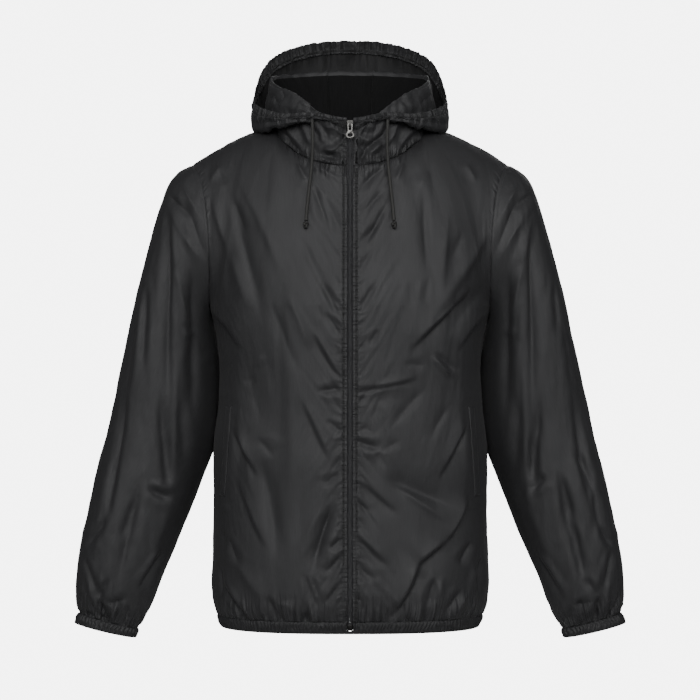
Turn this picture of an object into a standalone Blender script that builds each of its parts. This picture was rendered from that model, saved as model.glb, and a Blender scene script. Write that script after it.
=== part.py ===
"""Hooded windbreaker jacket, worn shape with nobody in it. Run with: blender --background --python part.py

Units are metres, +Z is up and the front faces -Y. The origin is the base of the neck, midway between the
shoulder seams, where the wearer's shoulders hold the jacket up. Each cut piece of cloth is a grid of points
on its outer face, worked out from sections and then folded, and extruded inwards by the thickness of its wall.
"""

import math

import bmesh
import bpy
import numpy as np
from mathutils import Vector
from mathutils.bvhtree import BVHTree

# ---------------------------------------------------------------------------------------------------------
# Driving dimensions
# ---------------------------------------------------------------------------------------------------------
WALL = 0.0012  # thickness of one layer of cloth
SEAM_GAP = 0.0004  # clear space between two pieces at a seam
LAY_GAP = 0.0003  # clear space between a piece and what it lies on

HEM_Z = -0.6850  # lower edge of the gathered hem
HEM_TOP_Z = -0.6685
HEM_NARROWING = 0.972  # how much the elastic draws the hem's foot in
UNDERARM_Z = -0.2400
ZIP_EDGE_X = 0.0048  # half the slot between the two fronts, where the zip shows
FRONT_OVAL_POWER = 0.80  # under 1 squares the torso's oval a little
BACK_OVAL_POWER = 0.94

NECK_HALF_WIDTH = 0.0980
NECK_FRONT_Y = -0.1000
NECK_BACK_Y = 0.0720
NECK_FRONT_Z = -0.0500
NECK_SIDE_Z = 0.0120
NECK_BACK_Z = 0.0040
NECK_TURN = math.radians(32)  # torso angle whose column ends where the neckline meets the shoulder seam

SHOULDER_TIP = (0.2210, 0.0, -0.0420)
SHOULDER_TURN = math.radians(72)  # torso angle whose column ends at the shoulder tip
ARMHOLE_HALF_DEPTH = 0.0700
ARMHOLE_FRONT_DIP = 0.0180  # how far the armhole curves in towards the chest
ARMHOLE_BACK_DIP = 0.0090
SLEEVE_CLEARANCE = 0.0020  # space between the hanging sleeve and the side of the body

# The torso's sections. Depths are from the side seam's plane to the front and to the back.
TORSO = {
    "z": (-0.6685, -0.6550, -0.6370, -0.5950, -0.5100, -0.4270, -0.3600, -0.3290, -0.3000, -0.2620, -0.2400),
    "half_width": (0.1840, 0.1905, 0.1930, 0.1920, 0.1905, 0.1907, 0.1835, 0.1820, 0.1850, 0.1910, 0.1950),
    "front": (0.1270, 0.1330, 0.1370, 0.1380, 0.1360, 0.1340, 0.1340, 0.1350, 0.1360, 0.1370, 0.1370),
    "back": (0.1190, 0.1240, 0.1280, 0.1280, 0.1240, 0.1200, 0.1190, 0.1200, 0.1220, 0.1250, 0.1260),
}

# The sleeve's sections from the armhole to the cuff. Each is an oval between an outer and an inner point.
SLEEVE = {
    "columns": ("outer_x", "outer_y", "outer_z", "inner_x", "inner_y", "inner_z", "half_depth"),
    "sections": (
        (0.2210, 0.0, -0.0420, 0.1950, 0.0, -0.2400, 0.0700),
        (0.2420, 0.0, -0.0540, 0.1930, 0.0100, -0.2540, 0.0730),
        (0.2560, 0.0, -0.0740, 0.1900, 0.0180, -0.2680, 0.0750),
        (0.2715, 0.0, -0.1200, 0.1855, 0.0280, -0.2900, 0.0770),
        (0.2880, 0.0, -0.1820, 0.1815, 0.0340, -0.3200, 0.0780),
        (0.3085, 0.0, -0.2700, 0.1810, 0.0360, -0.3650, 0.0760),
        (0.3270, 0.0, -0.3570, 0.1860, 0.0300, -0.4220, 0.0720),
        (0.3430, -0.0020, -0.4250, 0.2070, 0.0200, -0.4800, 0.0680),
        (0.3556, -0.0060, -0.4770, 0.2245, 0.0100, -0.5250, 0.0650),
        (0.3700, -0.0100, -0.5446, 0.2460, 0.0, -0.5780, 0.0600),
        (0.3785, -0.0130, -0.5900, 0.2620, -0.0080, -0.6160, 0.0530),
        (0.3820, -0.0150, -0.6300, 0.2750, -0.0140, -0.6520, 0.0430),
        (0.3810, -0.0155, -0.6530, 0.2860, -0.0160, -0.6740, 0.0320),
        (0.3766, -0.0160, -0.6664, 0.2957, -0.0170, -0.6878, 0.0250),
    ),
}
CUFF_FOOT = {"outer": (0.3830, -0.0165, -0.6810), "inner": (0.2990, -0.0175, -0.7010), "half_depth": 0.0262}

# The hood lies open and fallen back: from the neck seam it rises as a tube to a ridge, falls outside that
# into a pouch behind the shoulders, and rises again to its casing and rim. Each ring is an oval round the neck.
HOOD = {
    "half_width": (0.0980, 0.1010, 0.1090, 0.1145, 0.1210, 0.1300, 0.1370, 0.1388, 0.1370, 0.1340),
    "front_y": (-0.1000, -0.1010, -0.1025, -0.1035, -0.1045, -0.1058, -0.1068, -0.1072, -0.1072, -0.1065),
    "side_y": (0.0, 0.0, 0.0, 0.0020, 0.0050, 0.0080, 0.0100, 0.0100, 0.0080, 0.0060),
    "back_y": (0.0720, 0.0750, 0.0800, 0.0960, 0.1220, 0.1460, 0.1710, 0.1800, 0.1650, 0.1560),
}
HOOD_ANGLES = (0, 20, 40, 65, 90, 130, 180)
# Height of each ring at those angles from the front. The first ring is the neck seam, worked out by itself.
HOOD_Z = {
    "tube": (-0.0260, -0.0100, 0.0060, 0.0300, 0.0440, 0.0500, 0.0520),
    "ridge": (-0.0040, 0.0210, 0.0460, 0.0640, 0.0790, 0.0900, 0.0970),
    "fall": (0.0000, 0.0195, 0.0380, 0.0500, 0.0600, 0.0640, 0.0680),
    "lower_fall": (0.0025, 0.0165, 0.0240, 0.0280, 0.0300, 0.0100, -0.0120),
    "pouch_bottom": (0.0045, 0.0140, 0.0100, 0.0050, 0.0060, -0.0350, -0.0800),
    "lower_outside": (0.0060, 0.0142, 0.0115, 0.0085, 0.0110, -0.0180, -0.0600),
    "outside": (0.0075, 0.0150, 0.0135, 0.0170, 0.0240, 0.0460, 0.0350),
    "casing_seam": (0.0090, 0.0165, 0.0160, 0.0235, 0.0370, 0.1060, 0.1355),
    "rim": (0.0146, 0.0227, 0.0224, 0.0340, 0.0500, 0.1195, 0.1480),
}
CASING_RING = 8  # the ring where the hood is sewn to its casing
STRIP_HALF_WIDTH = (0.0300, 0.0390)  # centre strip of the hood, at the neck and at the casing

# How finely each seam is divided, the same on both of the pieces that it joins
NECK_FRONT_STEPS = 8
NECK_BACK_STEPS = 5
FRONT_SHOULDER_STEPS = 8
BACK_SHOULDER_STEPS = 6
ARMHOLE_STEPS = 9
TORSO_STEPS = 18  # from the hem seam up to the underarm
SLEEVE_STEPS = 22
HOOD_STEPS = 16

HEM_GATHERS = 52
CUFF_GATHERS = 22
CASING_GATHERS = 36
HEM_GATHER_DEPTH = 0.0024
CUFF_GATHER_DEPTH = 0.0020
CASING_GATHER_DEPTH = 0.0018

# Largest folds of each piece, as a row each of x0, z0, x1, z1, width and height: where it starts and ends in the
# jacket's front view, how wide it is to each side, and how far it stands out (or in, if negative).
FOLDS = {
    "front": (
        (-0.166, -0.095, -0.122, -0.225, 0.022, -0.0101),
        (-0.150, -0.070, -0.095, -0.185, 0.022, 0.0081),
        (-0.160, -0.165, -0.140, -0.245, 0.020, 0.0081),
        (-0.186, -0.262, -0.150, -0.300, 0.018, -0.0081),
        (-0.180, -0.366, -0.128, -0.475, 0.022, -0.0115),
        (-0.165, -0.515, -0.150, -0.610, 0.020, -0.0095),
        (-0.024, -0.505, -0.056, -0.610, 0.020, -0.0088),
        (-0.060, -0.240, -0.030, -0.320, 0.022, -0.0068),
        (-0.080, -0.430, -0.110, -0.590, 0.034, 0.0081),
        (0.178, -0.180, 0.084, -0.295, 0.022, -0.0108),
        (0.098, -0.085, 0.096, -0.200, 0.022, -0.0074),
        (0.150, -0.120, 0.120, -0.210, 0.025, 0.0081),
        (0.186, -0.262, 0.150, -0.300, 0.018, -0.0081),
        (0.115, -0.310, 0.142, -0.345, 0.020, 0.0068),
        (0.180, -0.366, 0.121, -0.480, 0.022, -0.0115),
        (0.165, -0.510, 0.138, -0.550, 0.019, -0.0108),
        (0.138, -0.550, 0.060, -0.635, 0.021, -0.0108),
        (0.040, -0.475, 0.138, -0.492, 0.020, -0.0081),
        (0.030, -0.535, 0.070, -0.575, 0.020, 0.0068),
    ),
    "back": (
        (-0.165, -0.110, -0.070, -0.310, 0.027, -0.0101),
        (0.165, -0.100, 0.080, -0.330, 0.027, -0.0108),
        (-0.150, -0.350, -0.060, -0.430, 0.025, -0.0088),
        (-0.110, -0.440, -0.090, -0.620, 0.029, -0.0095),
        (0.140, -0.370, 0.110, -0.600, 0.029, -0.0101),
        (0.000, -0.240, 0.020, -0.560, 0.038, 0.0081),
        (0.020, -0.560, 0.080, -0.640, 0.025, -0.0081),
    ),
    "sleeve": (
        (0.252, -0.120, 0.252, -0.310, 0.018, -0.0101),
        (0.246, -0.090, 0.210, -0.150, 0.016, -0.0074),
        (0.228, -0.150, 0.230, -0.260, 0.018, 0.0081),
        (0.284, -0.200, 0.288, -0.340, 0.018, 0.0081),
        (0.269, -0.375, 0.250, -0.510, 0.018, -0.0108),
        (0.308, -0.373, 0.338, -0.530, 0.020, 0.0081),
        (0.292, -0.468, 0.322, -0.600, 0.018, -0.0095),
        (0.362, -0.575, 0.338, -0.655, 0.016, -0.0095),
        (0.258, -0.590, 0.296, -0.650, 0.016, -0.0074),
    ),
}

POCKET_TOP = (0.1660, -0.3780)  # middle of the welt (x, z), which slants outwards on its way down
POCKET_BOTTOM = (0.1750, -0.5020)
POCKET_WELT_WIDTH = 0.0140

TAPE_WIDTH = 0.0112
TAPE_THICKNESS = 0.0010
TAPE_GAP = 0.0012  # behind the fronts
TAPE_SPLIT = 0.0018  # half the space between the two tapes, where the slider's post passes
CHAIN_HALF_WIDTH = 0.0030
CHAIN_THICKNESS = 0.0011
ZIP_TOP_Z = 0.0120
ZIP_BOTTOM_Z = -0.6800
ZIP_BOX_HEIGHT = 0.0080
ZIP_BOX_WALL = 0.0006  # beyond the chain on each side and in front
ZIP_BOX_ROUNDING = 0.0004

SLIDER_TOP_Z = 0.0110
SLIDER_LENGTH = 0.0110
SLIDER_HALF_WIDTH = 0.0042
SLIDER_PLATE = 0.0011
SLIDER_POST_HALF_WIDTH = 0.0014
SLIDER_POST_INSET = 0.0012  # the post's top is this far under the plates' tops
BAIL_HALF_WIDTH = 0.0011
BAIL_THICKNESS = 0.0010
BAIL_OPENING = 0.0032  # clear height under the bail
BAIL_LENGTH = 0.0072
PULL_THICKNESS = 0.0014
PULL_LENGTH = 0.0205
PULL_NECK_HALF_WIDTH = 0.0036
PULL_NECK_LENGTH = 0.0095
PULL_SHOULDER = 0.0016  # height of the round top
PULL_WAIST_HALF_WIDTH = 0.0031
PULL_END_HALF_WIDTH = 0.0058
PULL_END_HALF_HEIGHT = 0.0046
PULL_HOLE_HALF_WIDTH = 0.0035
PULL_HOLE_HALF_HEIGHT = 0.0024
PULL_BAR = 0.0015  # the bar that turns under the bail
PULL_SLOT_HALF_WIDTH = 0.0018
PULL_SLOT_LENGTH = 0.0078

CORD_DIAMETER = 0.0045
CORD_STEPS = 17
CORD_ROUTE = (
    (0.0515, -0.0995, 0.0125),
    (0.0512, -0.0998, 0.0060),
    (0.0508, -0.0999, -0.0040),
    (0.0506, -0.0998, -0.0150),
    (0.0508, -0.0996, -0.0270),
    (0.0514, -0.0994, -0.0390),
    (0.0524, -0.0996, -0.0520),
    (0.0538, -0.1026, -0.0670),
    (0.0554, -0.1079, -0.0820),
    (0.0570, -0.1127, -0.0970),
    (0.0584, -0.1173, -0.1120),
    (0.0594, -0.1208, -0.1260),
)
KNOT_LENGTH = 0.0110
KNOT_RADIUS = 0.0042
KNOT_HALF_DEPTH = 0.0032

COLOURS = {
    "cloth": ((0.022, 0.022, 0.024), 0.45, 0.0),
    "elastic_band": ((0.018, 0.018, 0.019), 0.55, 0.0),
    "zip_tape": ((0.020, 0.020, 0.022), 0.75, 0.0),
    "zip_coil": ((0.030, 0.030, 0.032), 0.40, 0.0),
    "zip_metal": ((0.330, 0.320, 0.310), 0.30, 1.0),
    "cord": ((0.014, 0.014, 0.013), 0.85, 0.0),
}
SIDES = ((1, "left"), (-1, "right"))  # the wearer's left is at +X


def material(name):
    """The Principled BSDF of that name, made when it is first asked for."""
    found = bpy.data.materials.get(name)
    if found:
        return found
    colour, roughness, metallic = COLOURS[name]
    made = bpy.data.materials.new(name)
    made.use_nodes = True
    shader = made.node_tree.nodes["Principled BSDF"]
    shader.inputs["Base Color"].default_value = (*colour, 1.0)
    shader.inputs["Roughness"].default_value = roughness
    shader.inputs["Metallic"].default_value = metallic
    return made


# ---------------------------------------------------------------------------------------------------------
# Curves and sheets
# ---------------------------------------------------------------------------------------------------------
def smooth(keys, values, at):
    """A smooth curve through the values at the keys, read at the points of at."""
    keys, values, at = np.asarray(keys, float), np.asarray(values, float), np.asarray(at, float)
    slopes = np.gradient(values, keys)
    at = np.clip(at, keys[0], keys[-1])
    i = np.clip(np.searchsorted(keys, at, side="right") - 1, 0, len(keys) - 2)
    step = keys[i + 1] - keys[i]
    t = (at - keys[i]) / step
    return (
        values[i] * (1 + 2 * t) * (1 - t) ** 2
        + slopes[i] * step * t * (1 - t) ** 2
        + values[i + 1] * t**2 * (3 - 2 * t)
        + slopes[i + 1] * step * t**2 * (t - 1)
    )


def fade(distance, reach):
    """0 at or below no distance, rising smoothly to 1 at that reach."""
    t = np.clip(distance / reach, 0, 1)
    return t * t * (3 - 2 * t)


def unit(vectors):
    return vectors / np.linalg.norm(vectors, axis=-1, keepdims=True)


def normals(points, closed=False):
    """Unit normals of a grid of points, columns along the first axis and rows along the second."""
    if closed:
        across = np.roll(points, -1, 0) - np.roll(points, 1, 0)
    else:
        across = np.gradient(points, axis=0)
    return unit(np.cross(across, np.gradient(points, axis=1)))


def folded(points, rows, mask, closed=False):
    """The grid of points moved along its normals by the folds, which are tapered at both ends."""
    height = np.zeros(points.shape[:2])
    x, z = points[..., 0], points[..., 2]
    for x0, z0, x1, z1, width, depth in rows:
        length = math.hypot(x1 - x0, z1 - z0)
        run_x, run_z = (x1 - x0) / length, (z1 - z0) / length
        along = (x - x0) * run_x + (z - z0) * run_z
        off = (x - x0) * run_z - (z - z0) * run_x
        taper = fade(along + width, 2 * width) * fade(length + width - along, 2 * width)
        height += depth * taper * np.exp(-1.6 * (off / width) ** 2)
    return points + normals(points, closed) * (height * mask)[..., None]


def polyline(line, share):
    """Points on an open line of straight runs, at those shares of its length."""
    steps = np.linalg.norm(np.diff(line, axis=0), axis=1)
    along = np.concatenate([[0], np.cumsum(steps)])
    return np.stack([np.interp(share * along[-1], along, line[:, k]) for k in range(3)], axis=1)


def gathered(line, count, depth, axis):
    """A line divided into that many gathers, where each second point stands out by the depth, square to the axis."""
    points = polyline(line, np.linspace(0, 1, 2 * count + 1))
    outward = unit(np.cross(np.gradient(points, axis=0), axis))
    stands_out = (np.arange(len(points)) % 2)[:, None]
    return points + outward * stands_out * depth


def mirrored(points, side):
    """The points on that side of the jacket: 1 is the wearer's left, at +X, and -1 the right."""
    return points * np.array([side, 1, 1])


def sheet(name, points, colour, outside=1, closed=False, wall=WALL, seams=()):
    """A named sheet of cloth whose outer face is the grid of points, extruded inwards by its wall.

    outside is -1 where the grid's own normals point inwards. Each seam is a slice of the grid and the
    direction of the piece beyond it, which the wall there must not lean towards.
    """
    outward = normals(points, closed) * outside
    for where, beyond in seams:
        beyond = np.array(beyond, float)
        lean = np.minimum(outward[where] @ beyond, 0)
        outward[where] = unit(outward[where] - lean[..., None] * beyond)
    mesh = bmesh.new()
    inward = mesh.verts.layers.float_vector.new("inward")
    columns, rows = points.shape[:2]
    grid = [[mesh.verts.new(points[i, j]) for j in range(rows)] for i in range(columns)]
    for i in range(columns):
        for j in range(rows):
            grid[i][j][inward] = -wall * outward[i, j]
    for i in range(columns if closed else columns - 1):
        for j in range(rows - 1):
            n = (i + 1) % columns
            mesh.faces.new((grid[i][j], grid[n][j], grid[n][j + 1], grid[i][j + 1]))
    made = bmesh.ops.extrude_face_region(mesh, geom=mesh.faces[:], use_keep_orig=True)
    for element in made["geom"]:
        if isinstance(element, bmesh.types.BMVert):
            element.co += element[inward]
    bmesh.ops.recalc_face_normals(mesh, faces=mesh.faces[:])
    return finish_mesh(name, mesh, colour)


def finish_mesh(name, mesh, colour):
    """The bmesh as a named object with its material, shaded smooth but for its edges."""
    data = bpy.data.meshes.new(name)
    mesh.to_mesh(data)
    mesh.free()
    data.materials.append(material(colour))
    data.shade_smooth()
    data.set_sharp_from_angle(angle=math.radians(50))
    made = bpy.data.objects.new(name, data)
    bpy.context.collection.objects.link(made)
    return made


# ---------------------------------------------------------------------------------------------------------
# Torso
# ---------------------------------------------------------------------------------------------------------
def armhole(turn, face):
    """The armhole seam: turn 0 is the shoulder tip and 1 the underarm. face is -1 for front, 1 for back."""
    angle = math.pi * np.asarray(turn, float)
    down = (1 - np.cos(angle)) / 2
    dip = (ARMHOLE_FRONT_DIP if face < 0 else ARMHOLE_BACK_DIP) * np.sin(angle) * np.cos(angle / 2)
    x = SHOULDER_TIP[0] + (TORSO["half_width"][-1] - SHOULDER_TIP[0]) * down - dip
    y = face * ARMHOLE_HALF_DEPTH * np.sin(angle)
    z = SHOULDER_TIP[2] + (UNDERARM_Z - SHOULDER_TIP[2]) * down
    return np.stack([x, y, z], axis=-1)


def neckline(angle, edge=0.0):
    """The neck seam at an angle from the centre front. edge is the half width of the slot at the front."""
    angle = np.asarray(angle, float)
    forward = np.cos(angle)
    x = edge + (NECK_HALF_WIDTH - edge) * np.sin(angle)
    y = np.where(forward > 0, NECK_FRONT_Y * forward, -NECK_BACK_Y * forward)
    front_z = NECK_SIDE_Z + (NECK_FRONT_Z - NECK_SIDE_Z) * forward
    back_z = NECK_SIDE_Z - (NECK_BACK_Z - NECK_SIDE_Z) * forward
    return np.stack([x, y, np.where(forward > 0, front_z, back_z)], axis=-1)


def shoulder_seam(share):
    """The shoulder seam from the neckline, at share 0, to the shoulder tip, at share 1."""
    x = NECK_HALF_WIDTH + (SHOULDER_TIP[0] - NECK_HALF_WIDTH) * share
    z = NECK_SIDE_Z + (SHOULDER_TIP[2] - NECK_SIDE_Z) * share**1.5
    return np.stack([x, np.zeros_like(x), z], axis=-1)


def torso_oval(z, angle, face, edge):
    """A point of the torso below the underarm. angle runs from the centre, 0, to the side seam, 90 degrees."""
    half_width = smooth(TORSO["z"], TORSO["half_width"], z)
    depth = smooth(TORSO["z"], TORSO["front" if face < 0 else "back"], z)
    power = FRONT_OVAL_POWER if face < 0 else BACK_OVAL_POWER
    x = edge + (half_width - edge) * np.abs(np.sin(angle)) ** power
    y = face * depth * np.abs(np.cos(angle)) ** power
    return np.stack([x, y, z + np.zeros_like(x)], axis=-1)


def top_edge(angle, face, edge):
    """Where the torso's column at that angle ends: on the neckline, or on the shoulder seam past it."""
    round_neck = np.clip(angle / NECK_TURN, 0, 1) * math.pi / 2
    neck = neckline(round_neck if face < 0 else math.pi - round_neck, edge)
    shoulder = shoulder_seam(np.clip((angle - NECK_TURN) / (SHOULDER_TURN - NECK_TURN), 0, 1))
    return np.where((angle <= NECK_TURN)[..., None], neck, shoulder)


def torso(across, up, face, edge):
    """Grid of points on half the torso.

    across runs 0 to 1 from the centre to the side seam and armhole. up runs 0 to 1 from the hem seam to the
    underarm, and 1 to 2 from there to the neckline and shoulder.
    """
    across, up = np.meshgrid(across, up, indexing="ij")
    low = np.clip(up, 0, 1)
    high = np.clip(up - 1, 0, 1)
    z = HEM_TOP_Z + (UNDERARM_Z - HEM_TOP_Z) * low
    angle = across * (SHOULDER_TURN + (math.pi / 2 - SHOULDER_TURN) * (1 - high) ** 3)
    start = torso_oval(z, angle, face, edge)
    end = top_edge(angle, face, edge)
    dome = 0.35 + 0.65 * fade(angle, NECK_TURN)
    back = (1 - dome) * high + dome * (1 - np.cos(math.pi / 2 * high))
    rise = (1 - dome) * high + dome * np.sin(math.pi / 2 * high)
    points = start + (end - start) * np.stack([rise * high, back, rise], axis=-1)
    miss = np.where((up[-1] > 1)[:, None], armhole(1 - high[-1], face) - points[-1], 0)
    return points + (across**3)[..., None] * miss[None]


def strip_edge(ring):
    """Angle at which the seam between the hood's side and its centre strip crosses a ring."""
    half = STRIP_HALF_WIDTH[0] + (STRIP_HALF_WIDTH[1] - STRIP_HALF_WIDTH[0]) * ring / CASING_RING
    return math.pi - np.arcsin(half / smooth(range(len(HOOD["half_width"])), HOOD["half_width"], ring))


def neck_shares(face):
    """Where the torso's columns lie, as shares of its neckline: the hood's columns meet the same points."""
    if face < 0:
        return np.linspace(0, 1, NECK_FRONT_STEPS + 1)
    strip = 2 - 2 * strip_edge(0.0) / math.pi
    return np.concatenate([[0], np.linspace(strip, 1, NECK_BACK_STEPS + 1)])


def torso_columns(face):
    corner = NECK_TURN / SHOULDER_TURN
    steps = FRONT_SHOULDER_STEPS if face < 0 else BACK_SHOULDER_STEPS
    return np.concatenate([neck_shares(face) * corner, np.linspace(corner, 1, steps + 1)[1:]])


def torso_rows():
    return np.concatenate([np.linspace(0, 1, TORSO_STEPS + 1), 1 + np.linspace(0, 1, ARMHOLE_STEPS + 1)[1:]])


def fold_mask(share, up, clear):
    """Where a torso panel may fold: not at its seams, nor in the first part of it, under the zip's topstitching."""
    return fade(share - clear, 0.12) * fade(1 - share, 0.2) * fade(up + 0.06, 0.16) * fade(2 - up, 0.4)


def clear_of_pocket(points):
    """0 under the pocket's welt, where the front lies flat, rising to 1 a little way from it."""
    z = np.clip(points[..., 2], POCKET_BOTTOM[1], POCKET_TOP[1])
    x = np.interp(z, (POCKET_BOTTOM[1], POCKET_TOP[1]), (POCKET_BOTTOM[0], POCKET_TOP[0]))
    distance = np.hypot(np.abs(points[..., 0]) - x, points[..., 2] - z)
    return fade(distance - POCKET_WELT_WIDTH, 0.018)


def front_points(side):
    """Outer face of a front, from the zip to the side seam and armhole, and from the hem seam upwards."""
    columns, rows = torso_columns(-1), torso_rows()
    points = mirrored(torso(columns, rows, -1, ZIP_EDGE_X), side)
    mask = fold_mask(columns[:, None], rows[None], 0.06) * clear_of_pocket(points)
    points = folded(points, FOLDS["front"], mask * side)
    points[-1, : TORSO_STEPS + 1, 1] -= SEAM_GAP / 2
    points[NECK_FRONT_STEPS:, -1, 1] -= SEAM_GAP / 2
    return points


def back_points():
    """Outer face of the back, from its right side seam to its left, and from the hem seam upwards."""
    columns, rows = torso_columns(1), torso_rows()
    half = torso(columns, rows, 1, 0.0)
    points = np.concatenate([mirrored(half[:0:-1], -1), half])
    share = np.concatenate([columns[:0:-1], columns])
    points = folded(points, FOLDS["back"], -fold_mask(share[:, None], rows[None], -0.12))
    points[[0, -1], : TORSO_STEPS + 1, 1] += SEAM_GAP / 2
    shoulder = share >= torso_columns(1)[NECK_BACK_STEPS + 1]
    points[shoulder, -1, 1] += SEAM_GAP / 2
    return points


def add_torso():
    below_arm = slice(0, TORSO_STEPS + 1)
    for side, name in SIDES:
        seams = (
            ((-1, below_arm), (0, 1, 0)),
            ((slice(NECK_FRONT_STEPS, None), -1), (0, 1, 0)),
            ((slice(None), 0), (0, 0, -1)),
            ((0, slice(None)), (-side, 0, 0)),
        )
        sheet(f"front_{name}", front_points(side), "cloth", outside=side, seams=seams)
    seams = (
        (([0, -1], below_arm), (0, -1, 0)),
        ((slice(0, BACK_SHOULDER_STEPS + 1), -1), (0, -1, 0)),
        ((slice(-BACK_SHOULDER_STEPS - 1, None), -1), (0, -1, 0)),
        ((slice(None), 0), (0, 0, -1)),
    )
    sheet("back", back_points(), "cloth", outside=-1, seams=seams)


def add_hem():
    """The gathered hem, from the zip's left edge round the back to its right edge."""
    left, right, back = front_points(1)[:, 0], front_points(-1)[:, 0], back_points()[:, 0]
    top = np.concatenate([left, back[::-1], right[::-1]])
    top[:, 2] = HEM_TOP_Z - SEAM_GAP
    foot = top * (HEM_NARROWING, HEM_NARROWING, 1)
    foot[:, 2] = HEM_Z
    foot[[0, -1], 0] = top[[0, -1], 0]
    lines = [gathered(line, HEM_GATHERS, HEM_GATHER_DEPTH, (0, 0, 1)) for line in (foot, top)]
    seams = (((slice(None), 1), (0, 0, 1)),)
    sheet("hem_band", np.stack(lines, axis=1), "elastic_band", seams=seams)


# ---------------------------------------------------------------------------------------------------------
# Sleeves and cuffs
# ---------------------------------------------------------------------------------------------------------
def oval(outer, inner, half_depth, angle):
    """Points of an oval between two points. angle 0 is at the outer one and 90 degrees at the front."""
    swing = (1 + np.cos(angle))[..., None] / 2
    points = inner + (outer - inner) * swing
    points[..., 1] -= half_depth * np.sin(angle)
    return points


def sleeve_angles():
    return np.linspace(0, 2 * math.pi, 2 * ARMHOLE_STEPS, endpoint=False)


def body_side_x(y, z, tree):
    """How far out the body reaches at that place, or None beside the armhole's opening."""
    hit = tree.ray_cast(Vector((0.5, y, z)), Vector((-1, 0, 0)))[0]
    return hit.x if hit is not None and hit.x > NECK_HALF_WIDTH else None


def body_tree():
    """The outer faces of the left front and the back, to keep the sleeve clear of."""
    corners, faces = [], []
    for points in (front_points(1), back_points()):
        columns, rows = points.shape[:2]
        first = len(corners)
        corners += [Vector(point) for point in points.reshape(-1, 3)]
        for i in range(columns - 1):
            for j in range(rows - 1):
                a = first + i * rows + j
                faces.append((a, a + rows, a + rows + 1, a + 1))
    return BVHTree.FromPolygons(corners, faces)


def sleeve_points():
    """Outer face of the left sleeve, round it from its outer side by the front, and down from the armhole."""
    angle, along = np.meshgrid(sleeve_angles(), np.linspace(0, 1, SLEEVE_STEPS + 1) ** 1.1, indexing="ij")
    keys = np.linspace(0, 1, len(SLEEVE["sections"]))
    column = {name: smooth(keys, values, along) for name, values in zip(SLEEVE["columns"], zip(*SLEEVE["sections"]))}
    outer = np.stack([column["outer_x"], column["outer_y"], column["outer_z"]], axis=-1)
    inner = np.stack([column["inner_x"], column["inner_y"], column["inner_z"]], axis=-1)
    points = oval(outer, inner, column["half_depth"], angle)
    turn = np.minimum(angle[:, 0], 2 * math.pi - angle[:, 0]) / math.pi
    in_front = (angle[:, 0] < math.pi)[:, None]
    seam = np.where(in_front, armhole(turn, -1), armhole(turn, 1))
    points += fade(0.22 - along, 0.22)[..., None] * (seam - points[:, 0])[:, None]
    mask = fade(along - 0.02, 0.15) * fade(1.02 - along, 0.08) * (0.35 + 0.65 * fade(np.sin(angle) + 0.2, 0.6))
    points = folded(points, FOLDS["sleeve"], mask, closed=True)
    tree = body_tree()
    for i in range(points.shape[0]):
        for j in range(1, points.shape[1]):
            x = body_side_x(points[i, j, 1], points[i, j, 2], tree)
            if x is not None:
                clear = SEAM_GAP + (SLEEVE_CLEARANCE - SEAM_GAP) * float(fade(along[i, j], 0.12))
                points[i, j, 0] = max(points[i, j, 0], x + clear)
    points[:, 0, 0] += SEAM_GAP
    return points


def cuff_points(sleeve_end):
    """Outer face of the left cuff, gathered, from the sleeve's last ring down."""
    foot = oval(np.array(CUFF_FOOT["outer"]), np.array(CUFF_FOOT["inner"]), CUFF_FOOT["half_depth"], sleeve_angles())
    down = unit(foot.mean(axis=0) - sleeve_end.mean(axis=0))
    rings = []
    for ring in (sleeve_end + down * SEAM_GAP, foot):
        closed_ring = np.concatenate([ring, ring[:1]])
        rings.append(gathered(closed_ring, CUFF_GATHERS, CUFF_GATHER_DEPTH, down)[:-1])
    return np.stack(rings, axis=1), down


def add_sleeves():
    left_sleeve = sleeve_points()
    left_cuff, down = cuff_points(left_sleeve[:, -1])
    for side, name in SIDES:
        beyond = np.array(down) * (side, 1, 1)
        seams = (((slice(None), 0), (-side, 0, 0)), ((slice(None), -1), beyond))
        points = mirrored(left_sleeve, side)
        sheet(f"sleeve_{name}", points, "cloth", outside=side, closed=True, seams=seams)
        seams = (((slice(None), 0), -beyond),)
        points = mirrored(left_cuff, side)
        sheet(f"cuff_{name}", points, "elastic_band", outside=side, closed=True, seams=seams)


# ---------------------------------------------------------------------------------------------------------
# Hood
# ---------------------------------------------------------------------------------------------------------
def hood(angle, ring, edge=ZIP_EDGE_X):
    """Points of the hood. angle runs from the centre front round to the back; ring from the neck to the rim."""
    forward = np.cos(angle)
    keys = np.arange(len(HOOD["half_width"]))
    half_width = smooth(keys, HOOD["half_width"], ring)
    side_y = smooth(keys, HOOD["side_y"], ring)
    front_y = smooth(keys, HOOD["front_y"], ring)
    back_y = smooth(keys, HOOD["back_y"], ring)
    x = edge + (half_width - edge) * np.sin(angle)
    y = side_y + np.where(forward > 0, (front_y - side_y) * forward, -(back_y - side_y) * forward)
    around = (-HOOD_ANGLES[1], *HOOD_ANGLES, 360 - HOOD_ANGLES[-2])
    heights = [neckline(angle)[..., 2]]
    heights += [smooth(around, (row[1], *row, row[-2]), np.degrees(angle)) for row in HOOD_Z.values()]
    heights = np.array(heights).reshape(len(keys), -1)
    z = [smooth(keys, heights[:, i], r) for i, r in enumerate(ring.ravel())]
    return np.stack([x, y, np.reshape(z, x.shape)], axis=-1)


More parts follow.
